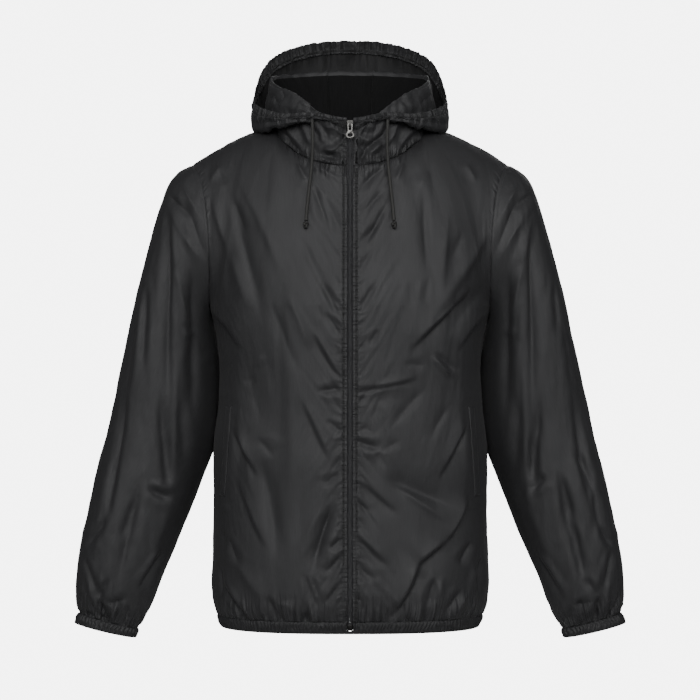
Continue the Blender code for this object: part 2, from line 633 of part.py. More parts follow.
def hood_side_points():
    """Outer face of the hood's left side, from the centre front to the strip, and from the neck to the casing."""
    ring = np.linspace(0, CASING_RING, HOOD_STEPS + 1)
    in_front = neck_shares(-1) * math.pi / 2
    behind = math.pi - neck_shares(1)[1:][::-1] * math.pi / 2
    share = np.concatenate([in_front, behind[1:]]) / strip_edge(0.0)
    share, ring = np.meshgrid(share, ring, indexing="ij")
    points = hood(share * strip_edge(ring), ring)
    points[:, 0, 2] += SEAM_GAP
    points[-1, :, 0] += SEAM_GAP / 2
    return points


def hood_strip_points():
    """Outer face of the hood's centre strip, from its right seam to its left."""
    ring = np.linspace(0, CASING_RING, HOOD_STEPS + 1)
    share, ring = np.meshgrid(np.linspace(-1, 1, 5), ring, indexing="ij")
    edge = ZIP_EDGE_X * np.abs(share)
    points = hood(math.pi - (math.pi - strip_edge(ring)) * np.abs(share), ring, edge)
    points[..., 0] *= np.sign(share)
    points[:, 0, 2] += SEAM_GAP
    points[[0, -1], :, 0] -= np.array([-1, 1])[:, None] * SEAM_GAP / 2
    return points


def casing_points():
    """Outer face of the hood's gathered casing, from the centre front's left round the back to its right."""
    side, strip = hood_side_points()[:, -1], hood_strip_points()[:, -1]
    seam = np.concatenate([side, strip[-2:0:-1], mirrored(side[::-1], -1)])
    angle = np.linspace(0, math.pi, 33)
    edge = ZIP_EDGE_X * fade(math.pi - angle, 0.5)
    rim = hood(angle, np.full_like(angle, CASING_RING + 1), edge)
    rim = np.concatenate([rim, mirrored(rim[-2::-1], -1)])
    share = np.linspace(0, 1, 2 * CASING_GATHERS + 1)
    rise = unit(polyline(rim, share) - polyline(seam, share))
    rings = [gathered(line, CASING_GATHERS, CASING_GATHER_DEPTH, rise) for line in (seam, rim)]
    rings[0] += rise * 1.5 * SEAM_GAP
    return np.stack(rings, axis=1)


def add_hood():
    for side, name in SIDES:
        inwards = (-side, 0, 0)
        seams = (((slice(None), 0), (0, 0, -1)), ((-1, slice(None)), inwards), ((0, slice(None)), inwards))
        sheet(f"hood_side_{name}", mirrored(hood_side_points(), side), "cloth", outside=side, seams=seams)
    seams = (((slice(None), 0), (0, 0, -1)), ((0, slice(None)), (-1, 0, 0)), ((-1, slice(None)), (1, 0, 0)))
    sheet("hood_centre_strip", hood_strip_points(), "cloth", outside=-1, seams=seams)
    sheet("hood_casing", casing_points(), "cloth")


# ---------------------------------------------------------------------------------------------------------
# Pocket welts
# ---------------------------------------------------------------------------------------------------------
def on_panel(points, columns, rows, across, up, outside, lift):
    """A grid of places on a panel, lifted off it. across and up are in the units of its columns and rows."""
    i = np.interp(across, columns, np.arange(len(columns)))
    j = np.interp(up, rows, np.arange(len(rows)))
    i0, j0 = np.minimum(i.astype(int), len(columns) - 2), np.minimum(j.astype(int), len(rows) - 2)
    s, t = (i - i0)[..., None], (j - j0)[..., None]
    places = points + normals(points) * outside * lift
    near = places[i0, j0] * (1 - t) + places[i0, j0 + 1] * t
    far = places[i0 + 1, j0] * (1 - t) + places[i0 + 1, j0 + 1] * t
    return near * (1 - s) + far * s


def add_pocket_welts():
    """A folded welt lying on each front by the side, slanting outwards on its way down."""
    columns, rows = torso_columns(-1), torso_rows()
    z = np.linspace(POCKET_BOTTOM[1], POCKET_TOP[1], 9)
    x = np.interp(z, (POCKET_BOTTOM[1], POCKET_TOP[1]), (POCKET_BOTTOM[0], POCKET_TOP[0]))
    half_width = smooth(TORSO["z"], TORSO["half_width"], z)
    middle = np.arcsin(((x - ZIP_EDGE_X) / (half_width - ZIP_EDGE_X)) ** (1 / FRONT_OVAL_POWER))
    depth = smooth(TORSO["z"], TORSO["front"], z)
    half = POCKET_WELT_WIDTH / 2 / depth
    across = (middle + np.linspace(-1, 1, 4)[:, None] * half) / (math.pi / 2)
    up = np.broadcast_to((z - HEM_TOP_Z) / (UNDERARM_Z - HEM_TOP_Z), across.shape)
    lift = 2 * LAY_GAP + 1.5 * WALL
    for side, name in SIDES:
        points = on_panel(front_points(side), columns, rows, across, up, side, lift)
        sheet(f"pocket_welt_{name}", points, "cloth", outside=side, wall=1.5 * WALL)


# ---------------------------------------------------------------------------------------------------------
# Zip
# ---------------------------------------------------------------------------------------------------------
def beside_zip(column):
    """Outside of the cloth down one of the columns beside the zip, from the hem's foot up to the rim."""
    body = front_points(1)[column]
    stand = hood_side_points()[column][1:]
    foot = body[:1] * (1, HEM_NARROWING, 0) + (0, 0, HEM_Z)
    rim = hood(np.full(1, column * math.pi / 2 / NECK_FRONT_STEPS), np.full(1, CASING_RING + 1.0))
    return np.concatenate([foot, body, stand, rim])


def zip_strip(name, edges, distance, thickness, ends, colour, side=1):
    """A strip down the centre front, between two heights.

    edges are the distances of its columns from the middle, and distance says how far its outer face lies
    inside the outside of the fronts.
    """
    near, far = beside_zip(0), beside_zip(1)
    low, high = ends
    within = (near[:, 2] > low + 0.001) & (near[:, 2] < high - 0.001)
    row = np.concatenate([[np.interp(low, near[:, 2], np.arange(len(near)))], np.flatnonzero(within)])
    row = np.append(row, np.interp(high, near[:, 2], np.arange(len(near))))
    near, far = (np.stack([np.interp(row, np.arange(len(c)), c[:, k]) for k in range(3)], 1) for c in (near, far))
    inward = -normals(np.stack([near, far])) * distance
    columns = []
    for x in edges:
        reach = max(x - ZIP_EDGE_X, 0) / (far[:, 0] - near[:, 0])
        place = near + inward[0] + (far + inward[1] - near - inward[0]) * reach[:, None]
        place[:, 0] = x
        columns.append(place)
    sheet(name, mirrored(np.stack(columns), side), colour, outside=side, wall=thickness)


def behind_front(z, distance):
    """Y of a line that runs down the centre front, that distance inside the outside of the cloth."""
    line = beside_zip(0)[:, 1:]
    tangent = unit(np.gradient(line, axis=0))
    inside = line + np.stack([tangent[:, 1], -tangent[:, 0]], axis=1) * distance
    return np.interp(z, inside[:, 1], inside[:, 0])


def add_box(mesh, low, high):
    """Adds a box to the bmesh, from its lowest to its highest corner."""
    made = bmesh.ops.create_cube(mesh, size=1)
    size = [h - l for l, h in zip(low, high)]
    middle = [(h + l) / 2 for l, h in zip(low, high)]
    bmesh.ops.scale(mesh, vec=size, verts=made["verts"])
    bmesh.ops.translate(mesh, vec=middle, verts=made["verts"])


def box(name, low, high, colour):
    mesh = bmesh.new()
    add_box(mesh, low, high)
    return finish_mesh(name, mesh, colour)


def join(made, other, operation):
    """Joins another object to this one, or cuts it away, and hides the other."""
    boolean = made.modifiers.new(other.name, "BOOLEAN")
    boolean.operation = operation
    boolean.object = other
    other.hide_render = True
    other.display_type = "WIRE"


def slider_faces():
    """Y of the slider's front plate, outside and inside, and of its rear plate's inside."""
    z = np.linspace(SLIDER_TOP_Z - SLIDER_LENGTH, SLIDER_TOP_Z, 5)
    tape = WALL + TAPE_GAP
    plate_inside = behind_front(z, tape - LAY_GAP - CHAIN_THICKNESS).min() - LAY_GAP
    rear_inside = behind_front(z, tape + TAPE_THICKNESS).max() + LAY_GAP
    return plate_inside - SLIDER_PLATE, plate_inside, rear_inside


def add_zip():
    tape = WALL + TAPE_GAP
    ends = (ZIP_BOTTOM_Z, ZIP_TOP_Z)
    for side, name in SIDES:
        edges = (TAPE_SPLIT, ZIP_EDGE_X, TAPE_WIDTH)
        zip_strip(f"zip_tape_{name}", edges, tape, TAPE_THICKNESS, ends, "zip_tape", side)
    ends = (ZIP_BOTTOM_Z + ZIP_BOX_HEIGHT + LAY_GAP, SLIDER_TOP_Z - SLIDER_LENGTH - LAY_GAP)
    chain = tape - LAY_GAP - CHAIN_THICKNESS
    edges = (-CHAIN_HALF_WIDTH, CHAIN_HALF_WIDTH)
    zip_strip("zip_chain", edges, chain, CHAIN_THICKNESS, ends, "zip_coil")
    add_zip_box(tape)
    add_slider()


def add_zip_box(tape):
    """The box at the foot of an open-ended zip, before the two tapes."""
    top = ZIP_BOTTOM_Z + ZIP_BOX_HEIGHT
    inside = behind_front(np.array([ZIP_BOTTOM_Z, top]), tape).min() - 2 * LAY_GAP
    half_width = CHAIN_HALF_WIDTH + ZIP_BOX_WALL
    low = (-half_width, inside - CHAIN_THICKNESS - ZIP_BOX_WALL, ZIP_BOTTOM_Z)
    made = box("zip_box", low, (half_width, inside, top), "zip_metal")
    bevel = made.modifiers.new("rounded", "BEVEL")
    bevel.width = ZIP_BOX_ROUNDING
    bevel.segments = 1


def add_slider():
    """The slider: a plate before the chain and one behind the tapes, a post between them, and a bail."""
    bottom = SLIDER_TOP_Z - SLIDER_LENGTH
    middle = SLIDER_TOP_Z - SLIDER_LENGTH / 2
    outside, inside, rear = slider_faces()
    sunk = SLIDER_PLATE / 4
    bail_front = outside - BAIL_OPENING - BAIL_THICKNESS
    made = box(
        "zip_slider", (-SLIDER_HALF_WIDTH, outside, bottom), (SLIDER_HALF_WIDTH, inside, SLIDER_TOP_Z), "zip_metal"
    )
    rear_low = (-SLIDER_HALF_WIDTH, rear, bottom)
    rear_high = (SLIDER_HALF_WIDTH, rear + SLIDER_PLATE, SLIDER_TOP_Z)
    post_low = (-SLIDER_POST_HALF_WIDTH, inside - sunk, middle)
    post_high = (SLIDER_POST_HALF_WIDTH, rear + sunk, SLIDER_TOP_Z - SLIDER_POST_INSET)
    bail_low = (-BAIL_HALF_WIDTH, bail_front, middle - BAIL_LENGTH / 2)
    bail_high = (BAIL_HALF_WIDTH, outside + sunk, middle + BAIL_LENGTH / 2)
    join(made, box("slider_rear_plate", rear_low, rear_high, "zip_metal"), "UNION")
    join(made, box("slider_post", post_low, post_high, "zip_metal"), "UNION")
    join(made, box("slider_bail", bail_low, bail_high, "zip_metal"), "UNION")
    half = BAIL_LENGTH / 2 - BAIL_THICKNESS
    hole_low = (-2 * BAIL_HALF_WIDTH, bail_front + BAIL_THICKNESS, middle - half)
    hole_high = (2 * BAIL_HALF_WIDTH, outside, middle + half)
    join(made, box("slider_bail_hole", hole_low, hole_high, "zip_metal"), "DIFFERENCE")
    add_pull(outside - BAIL_OPENING / 2, middle)


def arc(z, half_width, half_height, start, end, steps):
    """Points of part of an oval in the XZ plane, from the start to the end angle in degrees."""
    angles = np.radians(np.linspace(start, end, steps))
    return [(half_width * math.cos(a), z + half_height * math.sin(a)) for a in angles]


def add_pull(pivot_y, pivot_z):
    """The pull tab, hanging from the bail: a bar at its top, a slot under it, and a wide end with a hole."""
    top = PULL_BAR / 2
    end_z = top - PULL_LENGTH + PULL_END_HALF_HEIGHT
    outline = arc(top - PULL_SHOULDER, PULL_NECK_HALF_WIDTH, PULL_SHOULDER, 0, 180, 9)
    outline += [(-PULL_WAIST_HALF_WIDTH, -PULL_NECK_LENGTH)]
    outline += arc(end_z, PULL_END_HALF_WIDTH, PULL_END_HALF_HEIGHT, 155, 385, 17)
    outline += [(PULL_WAIST_HALF_WIDTH, -PULL_NECK_LENGTH)]
    radius = PULL_SLOT_HALF_WIDTH
    slot = [(radius, -top), (-radius, -top)] + arc(-top - PULL_SLOT_LENGTH + radius, radius, radius, 180, 360, 9)
    hole = arc(end_z, PULL_HOLE_HALF_WIDTH, PULL_HOLE_HALF_HEIGHT, 0, 337.5, 16)
    curve = bpy.data.curves.new("zip_pull", "CURVE")
    curve.dimensions = "2D"
    curve.fill_mode = "BOTH"
    curve.extrude = PULL_THICKNESS / 2
    for ring in (outline, slot, hole):
        spline = curve.splines.new("POLY")
        spline.points.add(len(ring) - 1)
        for point, (x, z) in zip(spline.points, ring):
            point.co = (x, z, 0, 1)
        spline.use_cyclic_u = True
    curve.materials.append(material("zip_metal"))
    made = bpy.data.objects.new("zip_pull", curve)
    bpy.context.collection.objects.link(made)
    made.rotation_euler = (math.pi / 2, 0, 0)
    made.location = (0, pivot_y, pivot_z)


# ---------------------------------------------------------------------------------------------------------
# Drawcord ends
# ---------------------------------------------------------------------------------------------------------
def cord_line(side):
    """The smooth line of a drawcord's free end, from under the casing down to its knot."""
    route = mirrored(np.array(CORD_ROUTE), side)
    steps = np.linalg.norm(np.diff(route, axis=0), axis=1)
    along = np.concatenate([[0], np.cumsum(steps)])
    at = np.linspace(0, along[-1], CORD_STEPS + 1)
    return np.stack([smooth(along, route[:, k], at) for k in range(3)], axis=1)


def add_cords():
    for side, name in SIDES:
        line = cord_line(side)
        curve = bpy.data.curves.new(f"drawcord_{name}", "CURVE")
        curve.dimensions = "3D"
        curve.bevel_depth = CORD_DIAMETER / 2
        curve.bevel_resolution = 2
        curve.use_fill_caps = True
        spline = curve.splines.new("POLY")
        spline.points.add(len(line) - 1)
        for point, place in zip(spline.points, line):
            point.co = (*place, 1)
        curve.materials.append(material("cord"))
        made = bpy.data.objects.new(f"drawcord_{name}", curve)
        bpy.context.collection.objects.link(made)
        add_knot(name, line[-1], unit(line[-1] - line[-2]))


def add_knot(name, end, direction):
    """The knot under a cord's end: a short barrel with round shoulders, in line with the cord."""
    middle = end + direction * (LAY_GAP + KNOT_LENGTH / 2)
    mesh = bmesh.new()
    bmesh.ops.create_uvsphere(mesh, u_segments=10, v_segments=6, radius=1)
    bmesh.ops.scale(mesh, vec=(KNOT_RADIUS, KNOT_HALF_DEPTH, KNOT_LENGTH / 2), verts=mesh.verts)
    turn = Vector((0, 0, -1)).rotation_difference(Vector(direction))
    bmesh.ops.rotate(mesh, verts=mesh.verts, matrix=turn.to_matrix())
    bmesh.ops.translate(mesh, verts=mesh.verts, vec=middle)
    finish_mesh(f"drawcord_knot_{name}", mesh, "cord")


def main():
    for old in list(bpy.data.objects):
        bpy.data.objects.remove(old)
    add_torso()
    add_hem()
    add_sleeves()
    add_hood()
    add_pocket_welts()
    add_zip()
    add_cords()


main()
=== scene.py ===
"""Looks of a black hooded windbreaker with a full-length front zip, in its worn shape with nobody in it.

Units are metres, +Z is up and the front faces -Y. The jacket is dressed piece by piece in the order it is sewn.
"""

import math

import bmesh
import bpy
import numpy as np
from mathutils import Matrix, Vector
from mathutils.bvhtree import BVHTree


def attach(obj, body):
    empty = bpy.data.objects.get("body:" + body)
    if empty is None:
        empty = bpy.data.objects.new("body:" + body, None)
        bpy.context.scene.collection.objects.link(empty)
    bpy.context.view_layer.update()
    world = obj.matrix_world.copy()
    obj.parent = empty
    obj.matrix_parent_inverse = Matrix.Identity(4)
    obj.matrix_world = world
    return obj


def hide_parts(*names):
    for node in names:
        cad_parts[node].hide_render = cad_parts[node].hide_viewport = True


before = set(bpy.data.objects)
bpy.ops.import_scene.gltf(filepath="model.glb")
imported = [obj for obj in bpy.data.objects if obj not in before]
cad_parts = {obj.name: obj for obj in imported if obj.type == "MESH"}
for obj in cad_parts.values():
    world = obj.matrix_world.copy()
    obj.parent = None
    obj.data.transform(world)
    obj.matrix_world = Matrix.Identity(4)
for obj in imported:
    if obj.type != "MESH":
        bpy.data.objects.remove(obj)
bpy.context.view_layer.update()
bpy.ops.object.select_all(action="DESELECT")

# Studio ----------------------------------------------------------------------------------------------------
# The jacket hangs in a white studio, seen level from straight in front. A wide soft light stands over the camera,
# with weaker ones nearer the chest, to each side, above and behind. The white all round is there for the camera
# and lights the jacket little.
CAMERA_DISTANCE = 3.5
CAMERA_HEIGHT = -0.301
VIEW_WIDTH = 0.98  # at the middle of the jacket
FLOOR_HEIGHT = -1.16
FLOOR_SIZE = 3.6
FLOOR_GREY = 0.45
ROOM_COLOUR = (0.93, 0.95, 1.0, 1.0)
ROOM_STRENGTH = 0.045
BACKDROP_STRENGTH = 6.0  # the white that the camera sees
SOFT_LIGHTS = (
    # name, place, aims at, width, height, watts
    ("front", (0.0, -3.7, 1.40), (0.0, 0.0, -0.12), 2.8, 2.2, 74.0),
    ("near_front", (0.0, -2.3, 0.50), (0.0, 0.0, -0.26), 1.2, 1.0, 14.0),
    ("left_front", (-2.5, -2.3, 1.0), (0.0, 0.0, -0.15), 1.6, 1.6, 27.0),
    ("right_front", (2.5, -2.3, 1.0), (0.0, 0.0, -0.15), 1.6, 1.6, 26.0),
    ("overhead", (0.0, -1.0, 2.4), (0.0, 0.0, -0.25), 1.8, 1.2, 8.0),
    ("behind", (0.4, 3.4, 1.2), (0.0, 0.0, -0.3), 2.6, 1.6, 44.0),
)



def placed(name, data):
    """A new object of that data in the scene."""
    made = bpy.data.objects.new(name, data)
    bpy.context.collection.objects.link(made)
    return made


def set_inputs(node, values):
    """The shader node, with those values on its inputs."""
    for socket, value in values.items():
        node.inputs[socket].default_value = value
    return node


def add_node(tree, kind, values={}):
    return set_inputs(tree.nodes.new(f"ShaderNode{kind}"), values)


def join(tree, *wires):
    """Joins nodes by wires, each given as a node, its output, the next node and its input."""
    for source, output, target, socket in wires:
        tree.links.new(source.outputs[output], target.inputs[socket])


def new_material(name, values):
    """A material, its node tree and its shader, with those values on the shader's inputs."""
    made = bpy.data.materials.new(name)
    made.use_nodes = True
    return made, made.node_tree, set_inputs(made.node_tree.nodes["Principled BSDF"], values)


camera = placed("camera", bpy.data.cameras.new("camera"))
camera.location = (0, -CAMERA_DISTANCE, CAMERA_HEIGHT)
camera.rotation_euler = (math.pi / 2, 0, 0)
camera.data.lens = camera.data.sensor_width * CAMERA_DISTANCE / VIEW_WIDTH
bpy.context.scene.camera = camera

for name, place, aim, width, height, watts in SOFT_LIGHTS:
    lamp = bpy.data.lights.new(name, "AREA")
    lamp.shape = "RECTANGLE"
    lamp.size, lamp.size_y, lamp.energy = width, height, watts
    light = placed(name, lamp)
    light.location = place
    light.rotation_euler = (Vector(aim) - Vector(place)).to_track_quat("-Z", "Y").to_euler()

world = bpy.data.worlds.new("studio")
bpy.context.scene.world = world
world.use_nodes = True
sky = world.node_tree
room = set_inputs(sky.nodes["Background"], {"Color": ROOM_COLOUR, "Strength": ROOM_STRENGTH})
backdrop = add_node(sky, "Background", {"Color": (1, 1, 1, 1), "Strength": BACKDROP_STRENGTH})
choice, ray = add_node(sky, "MixShader"), add_node(sky, "LightPath")
join(
    sky, (ray, "Is Camera Ray", choice, "Fac"), (room, "Background", choice, 1), (backdrop, "Background", choice, 2),
    (choice, "Shader", sky.nodes["World Output"], "Surface"),
)

bpy.ops.mesh.primitive_plane_add(size=FLOOR_SIZE, location=(0, 0, FLOOR_HEIGHT))
floor = bpy.context.object
floor.name = "floor"
floor.data.materials.append(
    new_material("floor_paint", {"Base Color": (FLOOR_GREY, FLOOR_GREY, FLOOR_GREY, 1), "Roughness": 0.9})[0]
)

# Drawcords -------------------------------------------------------------------------------------------------
# The free end of a round polyester braid on each side: it comes out from under the hood's gathered edge, hangs
# down the chest and ends in an overhand knot. Each is a tube along its line, with the braid raised on it.
CORD_DIAMETER = 0.0045
CORD_RINGS = 220
CORD_SIDES = 14
BRAID_PITCH = 0.0085  # one turn of a strand
BRAID_STRANDS = 6  # each way round
BRAID_RELIEF = 0.00028
KNOT_CORD_DIAMETER = 0.0034  # where the knot is pulled tight
KNOT_SIZE = (0.0026, 0.0020, 0.0040)  # half the width, depth and height of the line that the knot follows
KNOT_MIDDLE_DROP = 0.0058  # below the cord's end
KNOT_START = 0.35  # radians left out at each end of the knot's turn
KNOT_RINGS = 90


def millimetres(*rows):
    """The rows, given in millimetres, in metres."""
    return tuple(tuple(value / 1000 for value in row) for row in rows)


CORD_ROUTE = millimetres(
    (51.5, -99.5, 12.5), (51.2, -99.8, 6), (50.8, -99.9, -4), (50.6, -99.8, -15), (50.8, -99.6, -27),
    (51.4, -99.4, -39), (52.4, -99.6, -52), (53.8, -102.6, -67), (55.4, -107.9, -82), (57, -112.7, -97),
    (58.4, -117.3, -112), (59.4, -120.8, -126),
)


def smooth(keys, values, at):
    """A smooth curve through the values at the keys, read at the points of at."""
    keys, values, at = np.asarray(keys, float), np.asarray(values, float), np.asarray(at, float)
    slopes = np.gradient(values, keys)
    at = np.clip(at, keys[0], keys[-1])
    i = np.clip(np.searchsorted(keys, at, side="right") - 1, 0, len(keys) - 2)
    step = keys[i + 1] - keys[i]
    t = (at - keys[i]) / step
    return (
        values[i] * (1 + 2 * t) * (1 - t) ** 2
        + slopes[i] * step * t * (1 - t) ** 2
        + values[i + 1] * t**2 * (3 - 2 * t)
        + slopes[i + 1] * step * t**2 * (t - 1)
    )


def unit(vectors):
    return vectors / np.maximum(np.linalg.norm(vectors, axis=-1, keepdims=True), 1e-12)


def mirrored(points, side):
    """The points on that side of the jacket: 1 is the wearer's left, at +X, and -1 the right."""
    return points * np.array([side, 1, 1])


def lengths_along(line):
    """How far each point of a line lies along it."""
    return np.concatenate([[0], np.cumsum(np.linalg.norm(np.diff(line, axis=0), axis=1))])


def smooth_line(route, steps):
    """Points evenly along a smooth line through the route's own points."""
    along = lengths_along(route)
    at = np.linspace(0, along[-1], steps + 1)
    return np.stack([smooth(along, route[:, k], at) for k in range(3)], axis=1)


def mesh_object(name, corners, faces):
    """An object of those corners and faces, smooth all over."""
    mesh = bpy.data.meshes.new(name)
    mesh.from_pydata(corners, [], faces)
    mesh.validate()
    mesh.shade_smooth()
    return placed(name, mesh)


def grid_mesh(name, points, wrap=False, capped=False):
    """A mesh on a grid of points, columns along the first axis and rows along the second, with UV maps in metres.

    The map named cloth follows the lengths on the surface, and threads the grid's own columns and rows. wrap
    closes the last column to the first, and capped closes both ends of such a tube.
    """
    columns, rows = points.shape[:2]
    index = np.arange(columns * rows).reshape(columns, rows)
    beside = np.roll(index, -1, 0) if wrap else index[1:]
    here = index if wrap else index[:-1]
    faces = np.stack([here[:, :-1], beside[:, :-1], beside[:, 1:], here[:, 1:]], axis=-1).reshape(-1, 4).tolist()
    if capped:
        faces += [index[::-1, 0].tolist(), index[:, -1].tolist()]
    made = mesh_object(name, points.reshape(-1, 3), faces)
    across, up = grid_lengths(points)
    if wrap:
        turn = across[-1:] + np.linalg.norm(points[:1] - points[-1:], axis=-1)
        across, up = np.concatenate([across, turn]), np.concatenate([up, up[:1]])
    i, j = np.divmod(np.arange((columns if wrap else columns - 1) * (rows - 1)), rows - 1)
    corners = np.stack([i, j, i + 1, j, i + 1, j + 1, i, j + 1], axis=-1).reshape(-1, 2)
    straight = (across.mean(axis=1, keepdims=True) + 0 * up, up.mean(axis=0, keepdims=True) + 0 * across)
    for layer_name, maps in (("cloth", (across, up)), ("threads", straight)):
        flat = np.stack([values[corners[:, 0], corners[:, 1]] for values in maps], axis=-1)
        if capped:
            flat = np.concatenate([flat, np.zeros((2 * columns, 2))])
        made.data.uv_layers.new(name=layer_name).data.foreach_set("uv", flat.ravel())
    return made


def grid_lengths(points):
    """How far each point of a grid lies along its row and along its column, in metres."""
    across = np.linalg.norm(np.diff(points, axis=0), axis=-1)
    up = np.linalg.norm(np.diff(points, axis=1), axis=-1)
    across = np.concatenate([np.zeros((1, points.shape[1])), np.cumsum(across, axis=0)])
    up = np.concatenate([np.zeros((points.shape[0], 1)), np.cumsum(up, axis=1)], axis=1)
    return across, up


def braided_tube(name, line, diameter):
    """A braided cord along a line: a tube whose surface rises where a strand lies on top."""
    tangent = unit(np.gradient(line, axis=0))
    first = unit(np.cross(tangent, (0.31, 0.87, 0.12)))
    second = np.cross(tangent, first)
    turn = np.linspace(0, 2 * math.pi, CORD_SIDES, endpoint=False)
    phase = 2 * math.pi * lengths_along(line)[None] / BRAID_PITCH
    one_way = np.cos(BRAID_STRANDS * (turn[:, None] + phase) / 2) ** 2
    other_way = np.cos(BRAID_STRANDS * (turn[:, None] - phase) / 2) ** 2
    radius = diameter / 2 - BRAID_RELIEF * (1 - np.maximum(one_way, other_way))
    around = np.cos(turn)[:, None, None] * first + np.sin(turn)[:, None, None] * second
    return grid_mesh(name, line[None] + around * radius[..., None], wrap=True, capped=True)


def knot_line(end, direction):
    """The line of an overhand knot, drawn tight under a cord's end."""
    t = np.linspace(KNOT_START, 2 * math.pi - KNOT_START, KNOT_RINGS)
    x, y, z = (np.sin(t) + 2 * np.sin(2 * t)) / 3, np.sin(3 * t), (np.cos(t) - 2 * np.cos(2 * t)) / 3
    turn = np.array(Vector((0, 0, -1)).rotation_difference(Vector(direction)).to_matrix())
    return end + direction * KNOT_MIDDLE_DROP + (np.stack([x, y, z], axis=1) * KNOT_SIZE) @ turn.T


def add_shades(tree, dark, light, low=0.0, high=1.0):
    """A colour ramp from a dark shade, at low, to a light one, at high."""
    node = add_node(tree, "ValToRGB")
    for element, colour, place in zip(node.color_ramp.elements, (dark, light), (low, high)):
        element.color, element.position = (*colour, 1), place
    return node


def braid_material():
    """Matt black polyester braid, its colour lighter and darker in fine random flecks."""
    made, tree, shader = new_material("black_braid", {"Roughness": 0.75})
    place, fuzz = add_node(tree, "TexCoord"), add_node(tree, "TexNoise", {"Scale": 2600, "Detail": 3})
    shade = add_shades(tree, (0.008, 0.008, 0.0075), (0.034, 0.0335, 0.031))
    bump = add_node(tree, "Bump", {"Strength": 0.5, "Distance": 0.0001})
    join(
        tree, (place, "Object", fuzz, "Vector"), (fuzz, "Fac", shade, "Fac"), (shade, "Color", shader, "Base Color"),
        (fuzz, "Fac", bump, "Height"), (bump, "Normal", shader, "Normal"),
    )
    return made


def stands_for(piece, node, body="jacket"):
    """Fixes a piece to its body in place of a solid of the frame."""
    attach(piece, body)
    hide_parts(node)


black_braid = braid_material()
SIDES = ((1, "left"), (-1, "right"))
for side, name in SIDES:
    line = smooth_line(mirrored(np.array(CORD_ROUTE), side), CORD_RINGS)
    end, direction = line[-1], unit(line[-1] - line[-4])
    cord = braided_tube(f"drawcord_{name}_braid", line, CORD_DIAMETER)
    knot = braided_tube(f"drawcord_{name}_knot", knot_line(end, direction), KNOT_CORD_DIAMETER)
    for piece, node in ((cord, f"drawcord_{name}"), (knot, f"drawcord_knot_{name}")):
        piece.data.materials.append(black_braid)
        stands_for(piece, node)

# Fronts ----------------------------------------------------------------------------------------------------
# Two panels of thin black taffeta, one layer, from the zip to the side seam and armhole. Each is a fine grid on
# the torso's own sections, with its creases put in one by one, puckered along its seams and given its thickness.
HEM_TOP_Z = -0.6685
UNDERARM_Z = -0.2400
ZIP_EDGE_X = 0.0048
SEAM_GAP = 0.0004
CLOTH = 0.0007  # thickness of the taffeta, a little over the real one so that it casts no leaks of light
TORSO = {
    "z": (-0.6685, -0.6550, -0.6370, -0.5950, -0.5100, -0.4270, -0.3600, -0.3290, -0.3000, -0.2620, -0.2400),
    "half_width": (0.1840, 0.1905, 0.1930, 0.1920, 0.1905, 0.1907, 0.1835, 0.1820, 0.1850, 0.1910, 0.1950),
    "front": (0.1270, 0.1330, 0.1370, 0.1380, 0.1360, 0.1340, 0.1340, 0.1350, 0.1360, 0.1370, 0.1370),
    "back": (0.1190, 0.1240, 0.1280, 0.1280, 0.1240, 0.1200, 0.1190, 0.1200, 0.1220, 0.1250, 0.1260),
}
TORSO_POWER = {-1: 0.80, 1: 0.94}  # under 1 squares the oval a little, at the front and at the back
NECK = {
    "half_width": 0.0980, "front_y": -0.1000, "back_y": 0.0720,
    "front_z": -0.0500, "side_z": 0.0120, "back_z": 0.0040,
}
NECK_TURN = math.radians(32)
SHOULDER_TIP = (0.2210, 0.0, -0.0420)
SHOULDER_TURN = math.radians(72)
ARMHOLE_HALF_DEPTH = 0.0700
ARMHOLE_DIP = {-1: 0.0180, 1: 0.0090}
FRONT_GRID = {"neck": 64, "shoulder": 72, "body": 192, "armhole": 74}
BACK_GRID = {"neck": 24, "shoulder": 40, "body": 112, "armhole": 56}
SEAM_DIP = (0.0006, 0.0022)  # how deep a seam lies, and how wide its dip is to each side
HIDDEN_EDGE = (0.0045, 0.0020)  # how far an edge runs on past its seam, and in under the next piece
# Facets of the cloth: how high, and how far apart across and along
FRONT_FACETS = {
    "broad": (0.0024, 0.062, 0.300), "middling": (0.0012, 0.024, 0.110), "fine": (0.0007, 0.011, 0.030),
    "pulled_up": (0.0016, 0.025, 0.100), "pulled_down": (0.0018, 0.025, 0.100),
}
# Puckers beside the seams: how far apart, how long and how high
FRONT_PUCKERS = {
    "zip": (0.0074, 0.018, 0.0027), "zip_long": (0.0240, 0.050, 0.0026), "side": (0.016, 0.022, 0.0011),
    "top": (0.015, 0.020, 0.0009), "hem": (0.0112, 0.030, 0.0030), "hem_long": (0.0240, 0.070, 0.0036),
}
ZIP_FOLD = ((-0.0060, 0.0016), (0.0001, 0.0014), (0.0004, 0.0007))  # how far out and how far behind it turns
ZIP_STITCH = 0.0048  # from the folded edge beside the zip
PULL_SPLIT_Z = -0.44  # the zip's edge is pulled upwards and outwards above here, and downwards below

